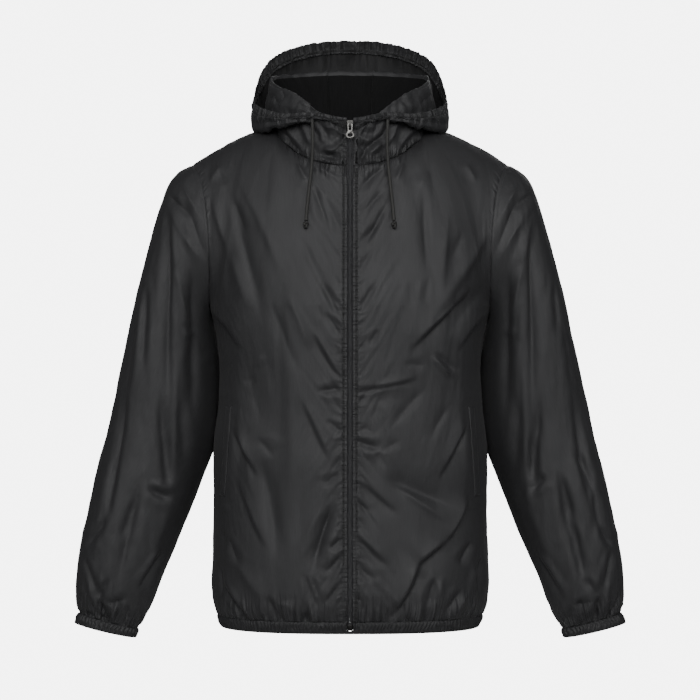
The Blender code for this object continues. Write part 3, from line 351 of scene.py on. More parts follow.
# Creases: x0, z0, x1, z1 where one starts and ends in the front view, how far its middle bows aside, how wide it
# is to each side, and how far it stands out (or in, if negative).
FRONT_FOLDS = millimetres(
    # right front, seen on the left
    (-165, -90, -119, -261, 0, 11.5, -5.2), (-154, -66, -92, -206, -5, 10.8, 3.6),
    (-194, -82, -165, -174, 0, 8.8, 3.5), (-84, -182, -77, -530, 0, 23, 4),
    (-119, -452, -97, -587, 0, 16.2, -7), (-155, -590, -119, -639, 0, 13.5, 3.5),
    (-142, -315, -119, -409, 0, 16.2, -2.5), (-67, -463, -67, -585, 0, 18.9, -2.5),
    # left front, seen on the right
    (100, -82, 104, -196, 0, 12.2, -6), (134, -115, 121, -234, 0, 10.8, 4), (192, -139, 108, -261, 0, 12.2, 7),
    (184, -215, 138, -274, 0, 16.2, -4), (41, -471, 138, -512, 0, 16.2, -9), (59, -482, 135, -536, 0, 8.1, 4),
    (46, -234, 38, -450, 0, 21.6, 3.5), (99, -355, 57, -404, 0, 9.5, -4), (134, -377, 108, -422, 0, 8.1, -3.2),
    (108, -593, 127, -639, 0, 12.2, 2),
)
# Where one stretch of cloth drops away under another; depth is positive where the drop faces left
FRONT_STEPS = millimetres(
    # right front, seen on the left
    (-194, -247, -151, -298, -3, 12.2, 3.4), (-181, -360, -124, -474, 3, 10.1, 5.6),
    (-154, -476, -113, -571, 3, 10.8, 2.6), (-67, -363, -27, -450, 1, 10.8, 2.6),
    (-50, -277, -15, -339, 0, 9.5, 2.6), (-167, -628, -130, -671, 1, 8.1, 3),
    # left front, seen on the right
    (167, -215, 82, -301, 0, 10.8, -6.4), (189, -252, 148, -301, 3, 12.2, -3.6),
    (175, -362, 119, -476, -4, 10.1, -5.8), (161, -502, 130, -562, -4, 9.5, -7),
    (131, -560, 93, -590, 0, 10.8, -7), (96, -585, 57, -660, -4, 9.5, -7), (4, -545, 50, -590, 0, 9.5, 3.2),
    (9, -472, 63, -520, 0, 9.5, 2.6), (92, -339, 4, -354, -3, 10.8, -3.6),
)
FRONT_CREASES = millimetres(
    # right front, seen on the left
    (-163, -171, -136, -247, 1, 6.8, 1.6), (-50, -78, -30, -138, -1, 4.6, -3),
    (-39, -86, -8, -150, -1, 4.6, -2.6), (-38, -209, -16, -259, -1, 4.9, -3.2),
    (-34, -250, -12, -286, -1, 4.6, -2.8), (-85, -225, -53, -301, -1, 5.7, 2.4),
    (-43, -356, -13, -352, 1, 4.9, -3.4), (-132, -325, -115, -309, 0, 4.6, 1),
    (-144, -344, -130, -341, 0, 6.1, -1), (-124, -421, -104, -444, 0, 7.4, -1.8),
    (-170, -394, -154, -400, 0, 4.6, -3), (-180, -502, -161, -509, 0, 4.9, -3.4),
    (-177, -547, -171, -575, 0, 4.3, -1.6), (-167, -556, -151, -595, 1, 5.1, -2.4),
    (-180, -594, -175, -645, 1, 4.9, -4), (-16, -466, -34, -483, 0, 4.9, -3.4),
    (-20, -506, -50, -601, 4, 8.1, -7), (-9, -553, -27, -570, 0, 4.6, -3),
    (-9, -574, -36, -603, -1, 4.9, -3.4), (-9, -586, -38, -647, -1, 6.2, 2),
    (-13, -614, -38, -647, 0, 4.6, -2.6), (-62, -603, -42, -652, 1, 4.3, -2.8),
    (-53, -606, -39, -639, 0, 4, -2), (-174, -620, -148, -668, 1, 4.9, -3.4),
    (-113, -634, -97, -671, -1, 5.1, -3.6), (-96, -644, -73, -655, -3, 5.4, 1.4),
    (-61, -655, -54, -671, 0, 4.6, -3), (-72, -46, -58, -73, 0, 4.9, 3), (-50, -51, -9, -77, -3, 4.3, 2.2),
    (-193, -69, -178, -47, 0, 5.4, 2), (-182, -55, -171, -73, 0, 4.9, -1.8),
    (-161, -93, -140, -147, 0, 5.4, -2.4), (-67, -147, -27, -234, 0, 6.8, -1.6),
    (-108, -234, -67, -341, 0, 8.1, -1.6), (-148, -409, -132, -504, 0, 8.1, 1.8),
    (-30, -396, -11, -412, 0, 4.6, -2.4),
    # left front, seen on the right
    (50, -49, 12, -82, 1, 4.6, -3), (49, -81, 11, -124, 1, 4.3, -2.4), (50, -104, 20, -162, 1, 4.9, -3.6),
    (41, -128, 11, -161, 1, 4, -2), (30, -166, 9, -201, 0, 4.3, -2), (35, -211, 11, -251, 1, 4.6, -2.4),
    (39, -274, 26, -294, 0, 4.6, -2.4), (73, -46, 63, -72, 0, 4.6, 2.8), (80, -209, 84, -243, 0, 4.3, -1),
    (95, -205, 92, -235, 0, 4.3, 0.9), (107, -202, 100, -239, 0, 4.3, -1), (111, -308, 140, -339, 1, 4.6, 2.8),
    (117, -304, 147, -332, 1, 4.6, -2), (73, -319, 103, -321, 1, 5.4, -1.4),
    (11, -366, 84, -350, -3, 6.8, 2.4), (3, -422, 41, -433, 1, 5.1, -3.6), (22, -439, 57, -439, 0, 6.8, 2),
    (155, -400, 174, -394, 0, 4.6, -2), (142, -439, 159, -409, 0, 5.4, -1.2),
    (167, -563, 150, -594, 1, 5.4, -3.6), (180, -583, 177, -644, 1, 4.9, -4),
    (170, -598, 173, -641, 0, 4.6, 1.6), (153, -626, 128, -661, -1, 5.9, -3.8),
    (162, -633, 138, -668, 0, 4.9, 1.6), (116, -609, 108, -649, 1, 5.7, -3.6),
    (126, -606, 121, -639, 0, 6.2, 1.4), (8, -585, 38, -611, 3, 4.9, -2.6), (5, -605, 30, -639, 1, 4.6, 1.6),
    (5, -625, 22, -655, 0, 4.6, -2.4), (62, -639, 57, -668, 0, 4.9, -3.4), (78, -636, 76, -665, 0, 5.4, 1.6),
    (5, -504, 30, -520, 0, 4.3, -2), (173, -69, 159, -44, 0, 5.4, 2), (108, -58, 95, -77, 0, 6.8, 1.4),
    (153, -142, 138, -182, 0, 6.8, -2), (67, -422, 35, -444, 0, 6.8, -1.8),
)


def fade(distance, reach):
    """0 at or below no distance, rising smoothly to 1 at that reach."""
    t = np.clip(distance / reach, 0, 1)
    return t * t * (3 - 2 * t)


def normals(points, wrap=False):
    """Unit normals of a grid of points."""
    if wrap:
        across = np.roll(points, -1, 0) - np.roll(points, 1, 0)
    else:
        across = np.gradient(points, axis=0)
    return unit(np.cross(across, np.gradient(points, axis=1)))


def creases(points, table, shape):
    """How far the creases of a table lift each point of a grid, each dying out slowly towards its ends.

    A pinch is narrow with a low lip on each side. A fold is broad, and steeper on its lower side. A step rises
    slowly to an edge, drops, and comes back slowly.
    """
    height = np.zeros(points.shape[:2])
    x, z = points[..., 0], points[..., 2]
    for x0, z0, x1, z1, bow, width, depth in table:
        length = math.hypot(x1 - x0, z1 - z0)
        run_x, run_z = (x1 - x0) / length, (z1 - z0) / length
        along = (x - x0) * run_x + (z - z0) * run_z
        share = np.clip(along / length, 0, 1)
        off = (x - x0) * run_z - (z - z0) * run_x - bow * 4 * share * (1 - share)
        if shape == "fold":
            taper = fade(along + width, width + 0.35 * length) * fade(length + width - along, width + 0.45 * length)
            wide = width * np.where(off * run_x > 0, 0.70, 1.35)
            height += depth * taper * np.exp(-1.9 * (np.sqrt((off / wide) ** 2 + 0.09) - 0.3))
            continue
        taper = fade(along + 0.5 * width, 0.25 * length + width) * fade(length + 0.5 * width - along, 0.40 * length)
        if shape == "step":
            away = off / width
            height -= 1.2 * depth * taper * np.tanh(away / 0.24) * np.exp(-np.abs(away) / 1.5)
        else:
            wide = 0.95 * width * (0.7 + 0.6 * share)
            pinch = np.exp(-1.5 * (np.sqrt((off / wide) ** 2 + 0.05) - 0.224))
            lips = np.exp(-(((np.abs(off) / wide - 2.1) / 1.1) ** 2))
            height += 1.2 * depth * taper * (pinch - 0.28 * lips)
    return height


def ripple(u, v, seed):
    """Smooth noise between about -0.7 and 0.7 over two coordinates, one bump to each unit."""
    heading = np.random.default_rng(seed).uniform(0, 2 * math.pi, (128, 128))
    i, j = np.floor(u).astype(int), np.floor(v).astype(int)
    s, t = u - i, v - j

    def corner(a, b):
        angle = heading[(i + a) % 128, (j + b) % 128]
        return np.cos(angle) * (s - a) + np.sin(angle) * (t - b)

    s_share, t_share = s**3 * (10 - 15 * s + 6 * s**2), t**3 * (10 - 15 * t + 6 * t**2)
    low = corner(0, 0) * (1 - s_share) + corner(1, 0) * s_share
    high = corner(0, 1) * (1 - s_share) + corner(1, 1) * s_share
    return low * (1 - t_share) + high * t_share


def facets(u, v, height, across, along, seed):
    """Thin cloth's near-flat facets, which meet in sharp crests and valleys, in that size and height."""
    u, v = u / across, v / along
    bend = ripple(u * 0.5, v * 0.5, seed + 1)
    crests = np.abs(ripple(u + 0.9 * bend, v + 0.6 * bend, seed))
    return height * (np.abs(ripple(1.15 * u - 0.8 * bend + 31.4, 1.1 * v + 17.7, seed + 2)) - crests)


def patches(u, v, per_metre, seed, share=0.05, soft=0.4):
    """Patches, so many to a metre each way, where the finer facets show."""
    return fade(ripple(u * per_metre[0], v * per_metre[1], seed) + share, soft)


def puckers(along, away, spacing, reach, height, seed, slant=0.0, width=0.4):
    """Short ridges that run off from a seam, at uneven places along it and of uneven length and height.

    slant is how far along a ridge moves for each metre that it runs away, and width is in spacings.
    """
    draw = np.random.default_rng(seed)
    lift = np.zeros(along.shape)
    place = along.min() - 0.2 * reach
    while place < along.max() + 0.2 * reach:
        place += spacing * draw.uniform(0.55, 1.55)
        long, high = reach * draw.uniform(0.35, 1.3), height * draw.uniform(0.25, 1.15)
        wide = spacing * width * draw.uniform(0.7, 1.3)
        lean = slant + draw.uniform(-0.3, 0.3)
        widening = 1 + 0.8 * away / reach
        off = (along - place - lean * away) / (wide * widening)
        lift += high * np.exp(-(off**2)) * np.clip(1 - away / long, 0, 1) ** 1.5 / widening
    return lift


def groove(away, depth, width):
    """The dip of a seam or a line of stitches."""
    return -depth * np.exp(-((away / width) ** 2))


def neckline(angle, edge=0.0):
    """The neck seam at an angle from the centre front. edge is the half width of the slot at the front."""
    angle = np.asarray(angle, float)
    forward = np.cos(angle)
    x = edge + (NECK["half_width"] - edge) * np.sin(angle)
    y = np.where(forward > 0, NECK["front_y"] * forward, -NECK["back_y"] * forward)
    front_z = NECK["side_z"] + (NECK["front_z"] - NECK["side_z"]) * forward
    back_z = NECK["side_z"] - (NECK["back_z"] - NECK["side_z"]) * forward
    return np.stack([x, y, np.where(forward > 0, front_z, back_z)], axis=-1)


def shoulder_seam(share):
    """The shoulder seam from the neckline, at share 0, to the shoulder tip, at share 1."""
    x = NECK["half_width"] + (SHOULDER_TIP[0] - NECK["half_width"]) * share
    z = NECK["side_z"] + (SHOULDER_TIP[2] - NECK["side_z"]) * share**1.5
    return np.stack([x, np.zeros_like(x), z], axis=-1)


def armhole(turn, face):
    """The armhole seam: turn 0 is the shoulder tip and 1 the underarm. face is -1 for front, 1 for back."""
    angle = math.pi * np.asarray(turn, float)
    down = (1 - np.cos(angle)) / 2
    dip = ARMHOLE_DIP[face] * np.sin(angle) * np.cos(angle / 2)
    x = SHOULDER_TIP[0] + (TORSO["half_width"][-1] - SHOULDER_TIP[0]) * down - dip
    y = face * ARMHOLE_HALF_DEPTH * np.sin(angle)
    z = SHOULDER_TIP[2] + (UNDERARM_Z - SHOULDER_TIP[2]) * down
    return np.stack([x, y, z], axis=-1)


def torso_oval(z, angle, face, edge):
    """A point of the torso below the underarm. angle runs from the centre, 0, to the side seam, 90 degrees."""
    half_width = smooth(TORSO["z"], TORSO["half_width"], z)
    depth = smooth(TORSO["z"], TORSO["front" if face < 0 else "back"], z)
    x = edge + (half_width - edge) * np.abs(np.sin(angle)) ** TORSO_POWER[face]
    y = face * depth * np.abs(np.cos(angle)) ** TORSO_POWER[face]
    return np.stack([x, y, z + np.zeros_like(x)], axis=-1)


def torso(across, up, face, edge):
    """Grid of points on half the torso. across runs 0 to 1 from the centre to the side seam and armhole.

    up runs 0 to 1 from the hem seam to the underarm, and 1 to 2 from there to the neckline and shoulder.
    """
    across, up = np.meshgrid(across, up, indexing="ij")
    low, high = np.clip(up, 0, 1), np.clip(up - 1, 0, 1)
    angle = across * (SHOULDER_TURN + (math.pi / 2 - SHOULDER_TURN) * (1 - high) ** 3)
    start = torso_oval(HEM_TOP_Z + (UNDERARM_Z - HEM_TOP_Z) * low, angle, face, edge)
    round_neck = np.clip(angle / NECK_TURN, 0, 1) * math.pi / 2
    neck = neckline(round_neck if face < 0 else math.pi - round_neck, edge)
    shoulder = shoulder_seam(np.clip((angle - NECK_TURN) / (SHOULDER_TURN - NECK_TURN), 0, 1))
    end = np.where((angle <= NECK_TURN)[..., None], neck, shoulder)
    dome = 0.35 + 0.65 * fade(angle, NECK_TURN)
    back = (1 - dome) * high + dome * (1 - np.cos(math.pi / 2 * high))
    rise = (1 - dome) * high + dome * np.sin(math.pi / 2 * high)
    points = start + (end - start) * np.stack([rise * high, back, rise], axis=-1)
    miss = np.where((up[-1] > 1)[:, None], armhole(1 - high[-1], face) - points[-1], 0)
    return points + (across**3)[..., None] * miss[None]


def torso_rows(grid):
    return np.concatenate([np.linspace(0, 1, grid["body"] + 1), 1 + np.linspace(0, 1, grid["armhole"] + 1)[1:]])


def large_fold_mask(share, up, clear):
    return fade(share - clear, 0.12) * fade(1 - share, 0.2) * fade(up + 0.06, 0.16) * fade(2 - up, 0.4)


POCKET_TOP = (0.1660, -0.3780)
POCKET_BOTTOM = (0.1750, -0.5020)
POCKET_WELT_WIDTH = 0.0140


def from_pocket(points):
    """How far each point lies from the middle line of the pocket's welt, in the front view."""
    z = np.clip(points[..., 2], POCKET_BOTTOM[1], POCKET_TOP[1])
    x = np.interp(z, (POCKET_BOTTOM[1], POCKET_TOP[1]), (POCKET_BOTTOM[0], POCKET_TOP[0]))
    return np.hypot(np.abs(points[..., 0]) - x, points[..., 2] - z)


def front_neck_shares():
    """Shares of the neckline's front half, closer together towards the zip, where the cloth is puckered most."""
    return np.linspace(0, 1, FRONT_GRID["neck"] + 1) ** 1.5


def front_form(side):
    """The front's own form with its large folds, before the fine creases."""
    corner = NECK_TURN / SHOULDER_TURN
    columns = np.concatenate([front_neck_shares() * corner, np.linspace(corner, 1, FRONT_GRID["shoulder"] + 1)[1:]])
    rows = torso_rows(FRONT_GRID)
    points = mirrored(torso(columns, rows, -1, ZIP_EDGE_X), side)
    mask = large_fold_mask(columns[:, None], rows[None], 0.06) * fade(from_pocket(points) - POCKET_WELT_WIDTH, 0.018)
    points = points + normals(points) * (creases(points, FRONT_FOLDS, "fold") * mask * side)[..., None]
    points[-1, : FRONT_GRID["body"] + 1, 1] -= SEAM_GAP / 2
    points[FRONT_GRID["neck"] :, -1, 1] -= SEAM_GAP / 2
    return points


def front_points(side):
    """Outer face of a front, creased, puckered along its seams and gathered into the hem."""
    form = front_form(side)
    u, v = grid_lengths(form)
    from_zip, from_side, from_hem, from_top = u, u[-1:] - u, v, v[:, -1:] - v
    z = form[..., 2]
    size, tuck = FRONT_FACETS, FRONT_PUCKERS
    clear = fade(from_pocket(form) - 0.6 * POCKET_WELT_WIDTH, 0.012)
    lift = (creases(form, FRONT_CREASES, "pinch") + creases(form, FRONT_STEPS, "step")) * clear
    lift += facets(u, v + 0.25 * u, *size["broad"], 11 + side) * fade(from_zip - 0.004, 0.05)
    lift += facets(u - 0.2 * v, v, *size["middling"], 21 + side) * patches(u, v, (7, 4), 25 + side)
    lift += facets(u - 0.3 * v, v, *size["fine"], 31 + side) * patches(u, v, (9, 6), 35 + side)
    upper = fade(z - PULL_SPLIT_Z, 0.08)
    near = fade(0.085 - from_zip, 0.06) * fade(from_zip - 0.004, 0.012)
    lift += facets(v - 1.7 * u, u + 0.4 * v, *size["pulled_up"], 41 + side) * near * upper
    lift += facets(v + 1.4 * u, u - 0.4 * v, *size["pulled_down"], 45 + side) * near * (1 - upper)
    tight = 0.35 + 0.65 * fade(-0.16 - z, 0.10)
    off_zip, lean = np.maximum(from_zip - 0.006, 0), 2.4 * upper - 1.2
    at_zip = puckers(v, off_zip, *tuck["zip"], 51 + side, slant=0.4 * lean, width=0.28)
    lift += at_zip * fade(from_zip - 0.005, 0.003) * tight
    at_zip = puckers(v, off_zip, *tuck["zip_long"], 71 + side, slant=lean, width=0.14)
    lift -= at_zip * fade(from_zip - 0.005, 0.006) * tight
    lift += puckers(v, from_side, *tuck["side"], 91 + side, slant=-0.4) * fade(from_side, 0.004)
    lift += puckers(u, from_top, *tuck["top"], 111 + side) * fade(from_top, 0.004)
    lift += puckers(u, from_hem, *tuck["hem"], 131 + side, width=0.32)
    lift -= puckers(u, from_hem, *tuck["hem_long"], 151 + side, width=0.17)
    lift += groove(from_zip - ZIP_STITCH, 0.0007, 0.0014) + groove(from_zip - 0.0022, -0.0005, 0.0022)
    at_seams = fade(np.minimum(from_side, from_top), 0.006) * fade(from_hem + 0.001, 0.003)
    lift = lift * (at_seams * fade(from_zip + 0.001, 0.002)) + groove(from_side, *SEAM_DIP)
    lift += groove(from_top, *SEAM_DIP)
    points = form + normals(form) * (lift * side)[..., None]
    to_coil = 0.0010 * np.exp(-((from_zip / 0.007) ** 2)) * fade(from_top - 0.004, 0.030)
    points[..., 0] -= side * to_coil
    return points


def turned_under(points, axis, end, outside=1, beyond=0.0035, inward=0.0013, wrap=False):
    """The grid with one more line past an edge, turned under the piece beyond the seam. end is 0 or -1."""
    edge, inner = points.take(end, axis), points.take(1 if end == 0 else -2, axis)
    under = edge + unit(edge - inner) * beyond - normals(points, wrap).take(end, axis) * outside * inward
    under = np.expand_dims(under, axis)
    return np.concatenate([under, points] if end == 0 else [points, under], axis=axis)


def folded_back(points, outside=1):
    """The grid with its first column, beside the zip, folded back on itself behind the piece."""
    edge, inner = points[0], points[1]
    out, inward = unit(edge - inner), normals(points)[0] * -outside
    turns = [edge + out * along + inward * deep for along, deep in ZIP_FOLD]
    return np.concatenate([np.stack(turns), points])


def mark_gathers(piece, points, reaches, outside):
    """Marks how strongly the cloth is gathered beside its first and last rows and its first and last columns."""
    across, up = grid_lengths(points)
    from_edges = (up, up[:, -1:] - up, across, across[-1:] - across)
    marks = [
        np.clip(1 - away / reach, 0, 1) ** 1.5 if reach else np.zeros(away.shape)
        for away, reach in zip(from_edges, reaches)
    ]
    for name, mark in (("gathers_up", marks[0] + marks[1]), ("gathers_across", marks[2] + marks[3])):
        values = np.minimum(mark if outside > 0 else mark[::-1], 1.0).ravel()
        piece.data.attributes.new(name, "FLOAT", "POINT").data.foreach_set("value", values)


def apply_modifier(piece, kind, **settings):
    """Gives a piece a modifier with those settings and applies it."""
    modifier = piece.modifiers.new(kind.lower(), kind)
    for setting, value in settings.items():
        setattr(modifier, setting, value)
    bpy.context.view_layer.objects.active = piece
    bpy.ops.object.modifier_apply(modifier=modifier.name)


def cloth_piece(
    name, node, points, finish, wrap=False, outside=1, wall=CLOTH, reverse=None,
    gathers=(0, 0, 0, 0),
):
    """A piece of cloth on a grid of points, given its thickness inwards, that stands for a solid of the frame.

    gathers is how far fine gathers reach from its first and last rows and its first and last columns.
    """
    piece = grid_mesh(name, points if outside > 0 else points[::-1], wrap=wrap)
    mark_gathers(piece, points, gathers, outside)
    piece.data.materials.append(finish)
    piece.data.materials.append(reverse or finish)
    apply_modifier(piece, "SOLIDIFY", thickness=wall, offset=-1, material_offset=1)
    stands_for(piece, node)
    return piece


def line_beside(points, distance, axis, from_end=False, outside=1):
    """Places and normals on a grid along a line that runs beside an edge, at that distance from it.

    axis 0 measures from the first column, and axis 1 from the first row; from_end takes the last instead.
    """
    grid = np.concatenate([points, normals(points) * outside], axis=-1)
    grid = grid if axis == 0 else grid.swapaxes(0, 1)
    grid = grid[::-1] if from_end else grid
    steps = np.linalg.norm(np.diff(grid[..., :3], axis=0), axis=-1)
    away = np.concatenate([np.zeros((1, grid.shape[1])), np.cumsum(steps, axis=0)])
    line = [[np.interp(distance, away[:, j], grid[:, j, k]) for k in range(6)] for j in range(grid.shape[1])]
    return np.array(line)


def stitches(name, lines, thread, pitch=0.0031, length=0.0023, radius=0.00030):
    """Rows of stitches as one mesh: each is a short length of thread that dips into the cloth at both ends."""
    turn = np.array([(1, 0), (0, 1), (-1, 0), (0, -1)])
    corners, faces = [], []
    for line in lines:
        along = lengths_along(line[:, :3])
        at = np.arange(pitch / 2, along[-1], pitch)
        ends = [
            np.stack([np.interp(at + half, along, line[:, k]) for k in range(6)], axis=1)
            for half in (-length / 2, length / 2)
        ]
        middle, run = (ends[0] + ends[1]) / 2, unit(ends[1][:, :3] - ends[0][:, :3])
        up = unit(middle[:, 3:])
        aside = np.cross(run, up)
        centre = middle[:, :3] + up * radius * 0.35
        ring = radius * (turn[:, 0, None] * aside[:, None] + turn[:, 1, None] * up[:, None])
        rings = [centre[:, None] + run[:, None] * share * length + ring for share in (-0.28, 0.28)]
        tips = [(end[:, :3] - up * radius * 0.8)[:, None] for end in ends]
        first = sum(len(made) for made in corners)
        corners.append(np.concatenate([tips[0], *rings, tips[1]], axis=1).reshape(-1, 3))
        for a in range(first, first + 10 * len(at), 10):
            for k in range(4):
                m = (k + 1) % 4
                faces += [(a, a + 1 + m, a + 1 + k), (a + 9, a + 5 + k, a + 5 + m)]
                faces.append((a + 1 + k, a + 1 + m, a + 5 + m, a + 5 + k))
    made = mesh_object(name, np.concatenate(corners), faces)
    made.data.materials.append(thread)
    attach(made, "jacket")


def new_group(name, inputs, outputs):
    """A node group with those inputs and outputs, and its own input and output nodes."""
    group = bpy.data.node_groups.new(name, "ShaderNodeTree")
    for way, sockets in (("INPUT", inputs), ("OUTPUT", outputs)):
        for socket, kind in sockets.items():
            group.interface.new_socket(socket, in_out=way, socket_type=f"NodeSocket{kind}")
    return group, group.nodes.new("NodeGroupInput"), group.nodes.new("NodeGroupOutput")


def add_math(tree, operation, *terms):
    """A sum on numbers and on other nodes' outputs, the latter given as a node and its output's name."""
    node = add_node(tree, "Math")
    node.operation = operation
    for socket, term in zip(node.inputs, terms):
        if isinstance(term, tuple):
            tree.links.new(term[0].outputs[term[1]], socket)
        else:
            socket.default_value = term
    return node


def add_pattern(tree, group, uv_map, values={}):
    """A node group's pattern, laid out on one of the cloth's UV maps."""
    node, uv = add_node(tree, "Group"), add_node(tree, "UVMap")
    node.node_tree, uv.uv_map = group, uv_map
    join(tree, (uv, "UV", node, "Vector"))
    return set_inputs(node, values)


def weave_group():
    """Height of a plain weave: warp and weft over and under, with threads of uneven thickness."""
    group, given, result = new_group(
        "plain_weave", {"Vector": "Vector", "Threads per metre": "Float"}, {"Height": "Float", "Slub": "Float"}
    )
    split = add_node(group, "SeparateXYZ")
    stretch = add_node(group, "Mapping", {"Scale": (900, 35, 1)})
    slub = add_node(group, "TexNoise", {"Scale": 1.0, "Detail": 2})
    turns = [add_math(group, "MULTIPLY", (split, axis), (given, "Threads per metre")) for axis in ("X", "Y")]
    waves = [add_math(group, "SINE", (turn, "Value")) for turn in turns]
    over = add_math(group, "MULTIPLY", *((wave, "Value") for wave in waves))
    join(
        group, (given, "Vector", split, "Vector"), (given, "Vector", stretch, "Vector"),
        (stretch, "Vector", slub, "Vector"), (over, "Value", result, "Height"), (slub, "Fac", result, "Slub"),
    )
    return group


GATHER_RELIEF = 0.0060
GATHERS = (
    # which mark, folds per metre across and along, share of the relief
    ("gathers_up", (130, 12, 1), 1.2),
    ("gathers_up", (54, 7, 1), 6.5),
    ("gathers_across", (24, 150, 1), 1.0),
    ("gathers_across", (16, 80, 1), 1.5),
)


def gathers_group():
    """Height of the fine gathers beside seams: sharp creases along the cloth or across it, where it is marked."""
    group, given, result = new_group("fine_gathers", {"Vector": "Vector"}, {"Height": "Float"})
    total = None
    for mark, scale, share in GATHERS:
        stretch = add_node(group, "Mapping", {"Scale": scale})
        noise = add_node(group, "TexNoise", {"Scale": 1.0, "Detail": 1.5, "Distortion": 0.6})
        marked = add_node(group, "Attribute")
        marked.attribute_name = mark
        join(group, (given, "Vector", stretch, "Vector"), (stretch, "Vector", noise, "Vector"))
        fold = add_math(group, "ABSOLUTE", (add_math(group, "SUBTRACT", (noise, "Fac"), 0.5), "Value"))
        masked = add_math(group, "MULTIPLY", (fold, "Value"), (marked, "Fac"))
        total = add_math(group, "MULTIPLY_ADD", (masked, "Value"), share, (total, "Value") if total else 0.0)
    join(group, (total, "Value", result, "Height"))
    return group


plain_weave = weave_group()
fine_gathers = gathers_group()


def taffeta(name, colour, roughness, wrinkle=0.0005, specular=0.5, sheen=0.03):
    """Thin black taffeta: a fine plain weave with a satin sheen, crinkled finely all over."""
    made, tree, shader = new_material(
        name, {"Specular IOR Level": specular, "Sheen Weight": sheen, "Sheen Roughness": 0.45}
    )
    place = add_node(tree, "TexCoord")
    weave = add_pattern(tree, plain_weave, "cloth", {"Threads per metre": 13000.0})
    gathers = add_pattern(tree, fine_gathers, "threads")
    crinkle = add_node(tree, "TexNoise", {"Scale": 95, "Detail": 4, "Roughness": 0.55})
    mottle = add_node(tree, "TexNoise", {"Scale": 9, "Detail": 5})
    drawn = add_node(tree, "Bump", {"Strength": 1.0, "Distance": GATHER_RELIEF})
    soft = add_node(tree, "Bump", {"Strength": 0.35, "Distance": wrinkle})
    fine = add_node(tree, "Bump", {"Strength": 0.22, "Distance": 0.00006})
    shade = add_shades(tree, [0.86 * c for c in colour], [1.14 * c for c in colour], 0.3, 0.7)
    gloss = add_node(
        tree, "MapRange", {"From Min": 0.3, "From Max": 0.7, "To Min": roughness - 0.05, "To Max": roughness + 0.05}
    )
    join(
        tree, (place, "Object", crinkle, "Vector"), (place, "Object", mottle, "Vector"),
        (gathers, "Height", drawn, "Height"), (crinkle, "Fac", soft, "Height"), (weave, "Height", fine, "Height"),
        (drawn, "Normal", soft, "Normal"), (soft, "Normal", fine, "Normal"), (fine, "Normal", shader, "Normal"),
        (weave, "Slub", shade, "Fac"), (shade, "Color", shader, "Base Color"),
        (mottle, "Fac", gloss, "Value"), (gloss, "Result", shader, "Roughness"),
    )
    return made


def thread_material():
    """Black polyester sewing thread, twisted and a little glossy."""
    made, tree, shader = new_material("black_thread", {"Roughness": 0.5})
    place, twist = add_node(tree, "TexCoord"), add_node(tree, "TexNoise", {"Scale": 4200})
    shade = add_shades(tree, (0.010, 0.010, 0.011), (0.040, 0.040, 0.042))
    join(
        tree, (place, "Object", twist, "Vector"), (twist, "Fac", shade, "Fac"),
        (shade, "Color", shader, "Base Color"),
    )
    return made


black_thread = thread_material()
black_taffeta = taffeta("black_taffeta", (0.0178, 0.0178, 0.0191), 0.65)
# Painted shade: the taffeta's reverse for the inner faces of the fronts, back, sleeves and hood, duller and painted
# darker than its outer face.
shaded_reverse = taffeta("shaded_reverse", (0.013, 0.013, 0.0135), 0.78)
front_faces = {side: front_points(side) for side, _ in SIDES}
for side, name in SIDES:
    face = front_faces[side]
    points = turned_under(face, 1, 0, side, *HIDDEN_EDGE)
    points = folded_back(turned_under(turned_under(points, 1, -1, side), 0, -1, side), side)
    cloth_piece(
        f"front_{name}_panel", f"front_{name}", points, black_taffeta,
        outside=side, reverse=shaded_reverse, gathers=(0.055, 0.030, 0.026, 0.020),
    )
    neckline_face = face[: FRONT_GRID["neck"] + 1]
    lines = [line_beside(face, ZIP_STITCH, 0, outside=side)]
    lines += [line_beside(neckline_face, 0.0040, 1, True, side), line_beside(face, 0.0035, 1, outside=side)]
    stitches(f"front_{name}_stitches", lines, black_thread)

# Back ------------------------------------------------------------------------------------------------------
# One panel of the same taffeta, cut whole from side seam to side seam, with drag lines down from the
# shoulder blades, sideways folds at the waist and upright ones over the gathered hem.
BACK_FOLDS = millimetres(
    (-165, -110, -70, -310, 0, 27, -10.1), (165, -100, 80, -330, 0, 27, -10.8),
    (-150, -350, -60, -430, 0, 25, -8.8), (-110, -440, -90, -620, 0, 29, -9.5),
    (140, -370, 110, -600, 0, 29, -10.1), (0, -240, 20, -560, 0, 38, 8.1), (20, -560, 80, -640, 0, 25, -8.1),
)
BACK_CREASES = millimetres(
    (-172, -90, -96, -255, 10, 9, 3.2), (-150, -120, -82, -290, 12, 8, -3.4),
    (-186, -190, -130, -260, 6, 8, -3.2), (-188, -245, -120, -292, -6, 7, -3.6),
    (-176, -275, -110, -340, 7, 8, 3), (-120, -330, -30, -410, -10, 9, -3),
    (-176, -360, -100, -400, 8, 7, -3.4), (-160, -420, -120, -520, 10, 9, 2.8),
    (-118, -470, -92, -610, -10, 8, -3.6), (-172, -520, -150, -630, 6, 8, -3.4),
    (-60, -520, -40, -640, 6, 9, 2.6), (-20, -50, -60, -150, 8, 12, 2), (-50, -170, -10, -330, 12, 12, -2.2),
    (6, -300, 30, -480, -10, 10, 2.8), (30, -90, 70, -190, -8, 12, 2), (176, -85, 104, -240, -10, 9, 3.4),
    (152, -130, 92, -300, -10, 8, -3.6), (188, -210, 130, -268, -5, 8, -3.4),
    (186, -262, 124, -330, 6, 7, 3.2), (160, -335, 60, -395, 10, 9, -3.2), (178, -380, 110, -430, -8, 8, -3.4),
    (140, -420, 118, -560, 8, 9, -3.4), (170, -500, 156, -620, -6, 8, 3), (88, -450, 60, -600, 10, 10, 2.6),
    (40, -550, 86, -640, -8, 8, -3.2), (-10, -580, 6, -655, 4, 8, -2.6),
)
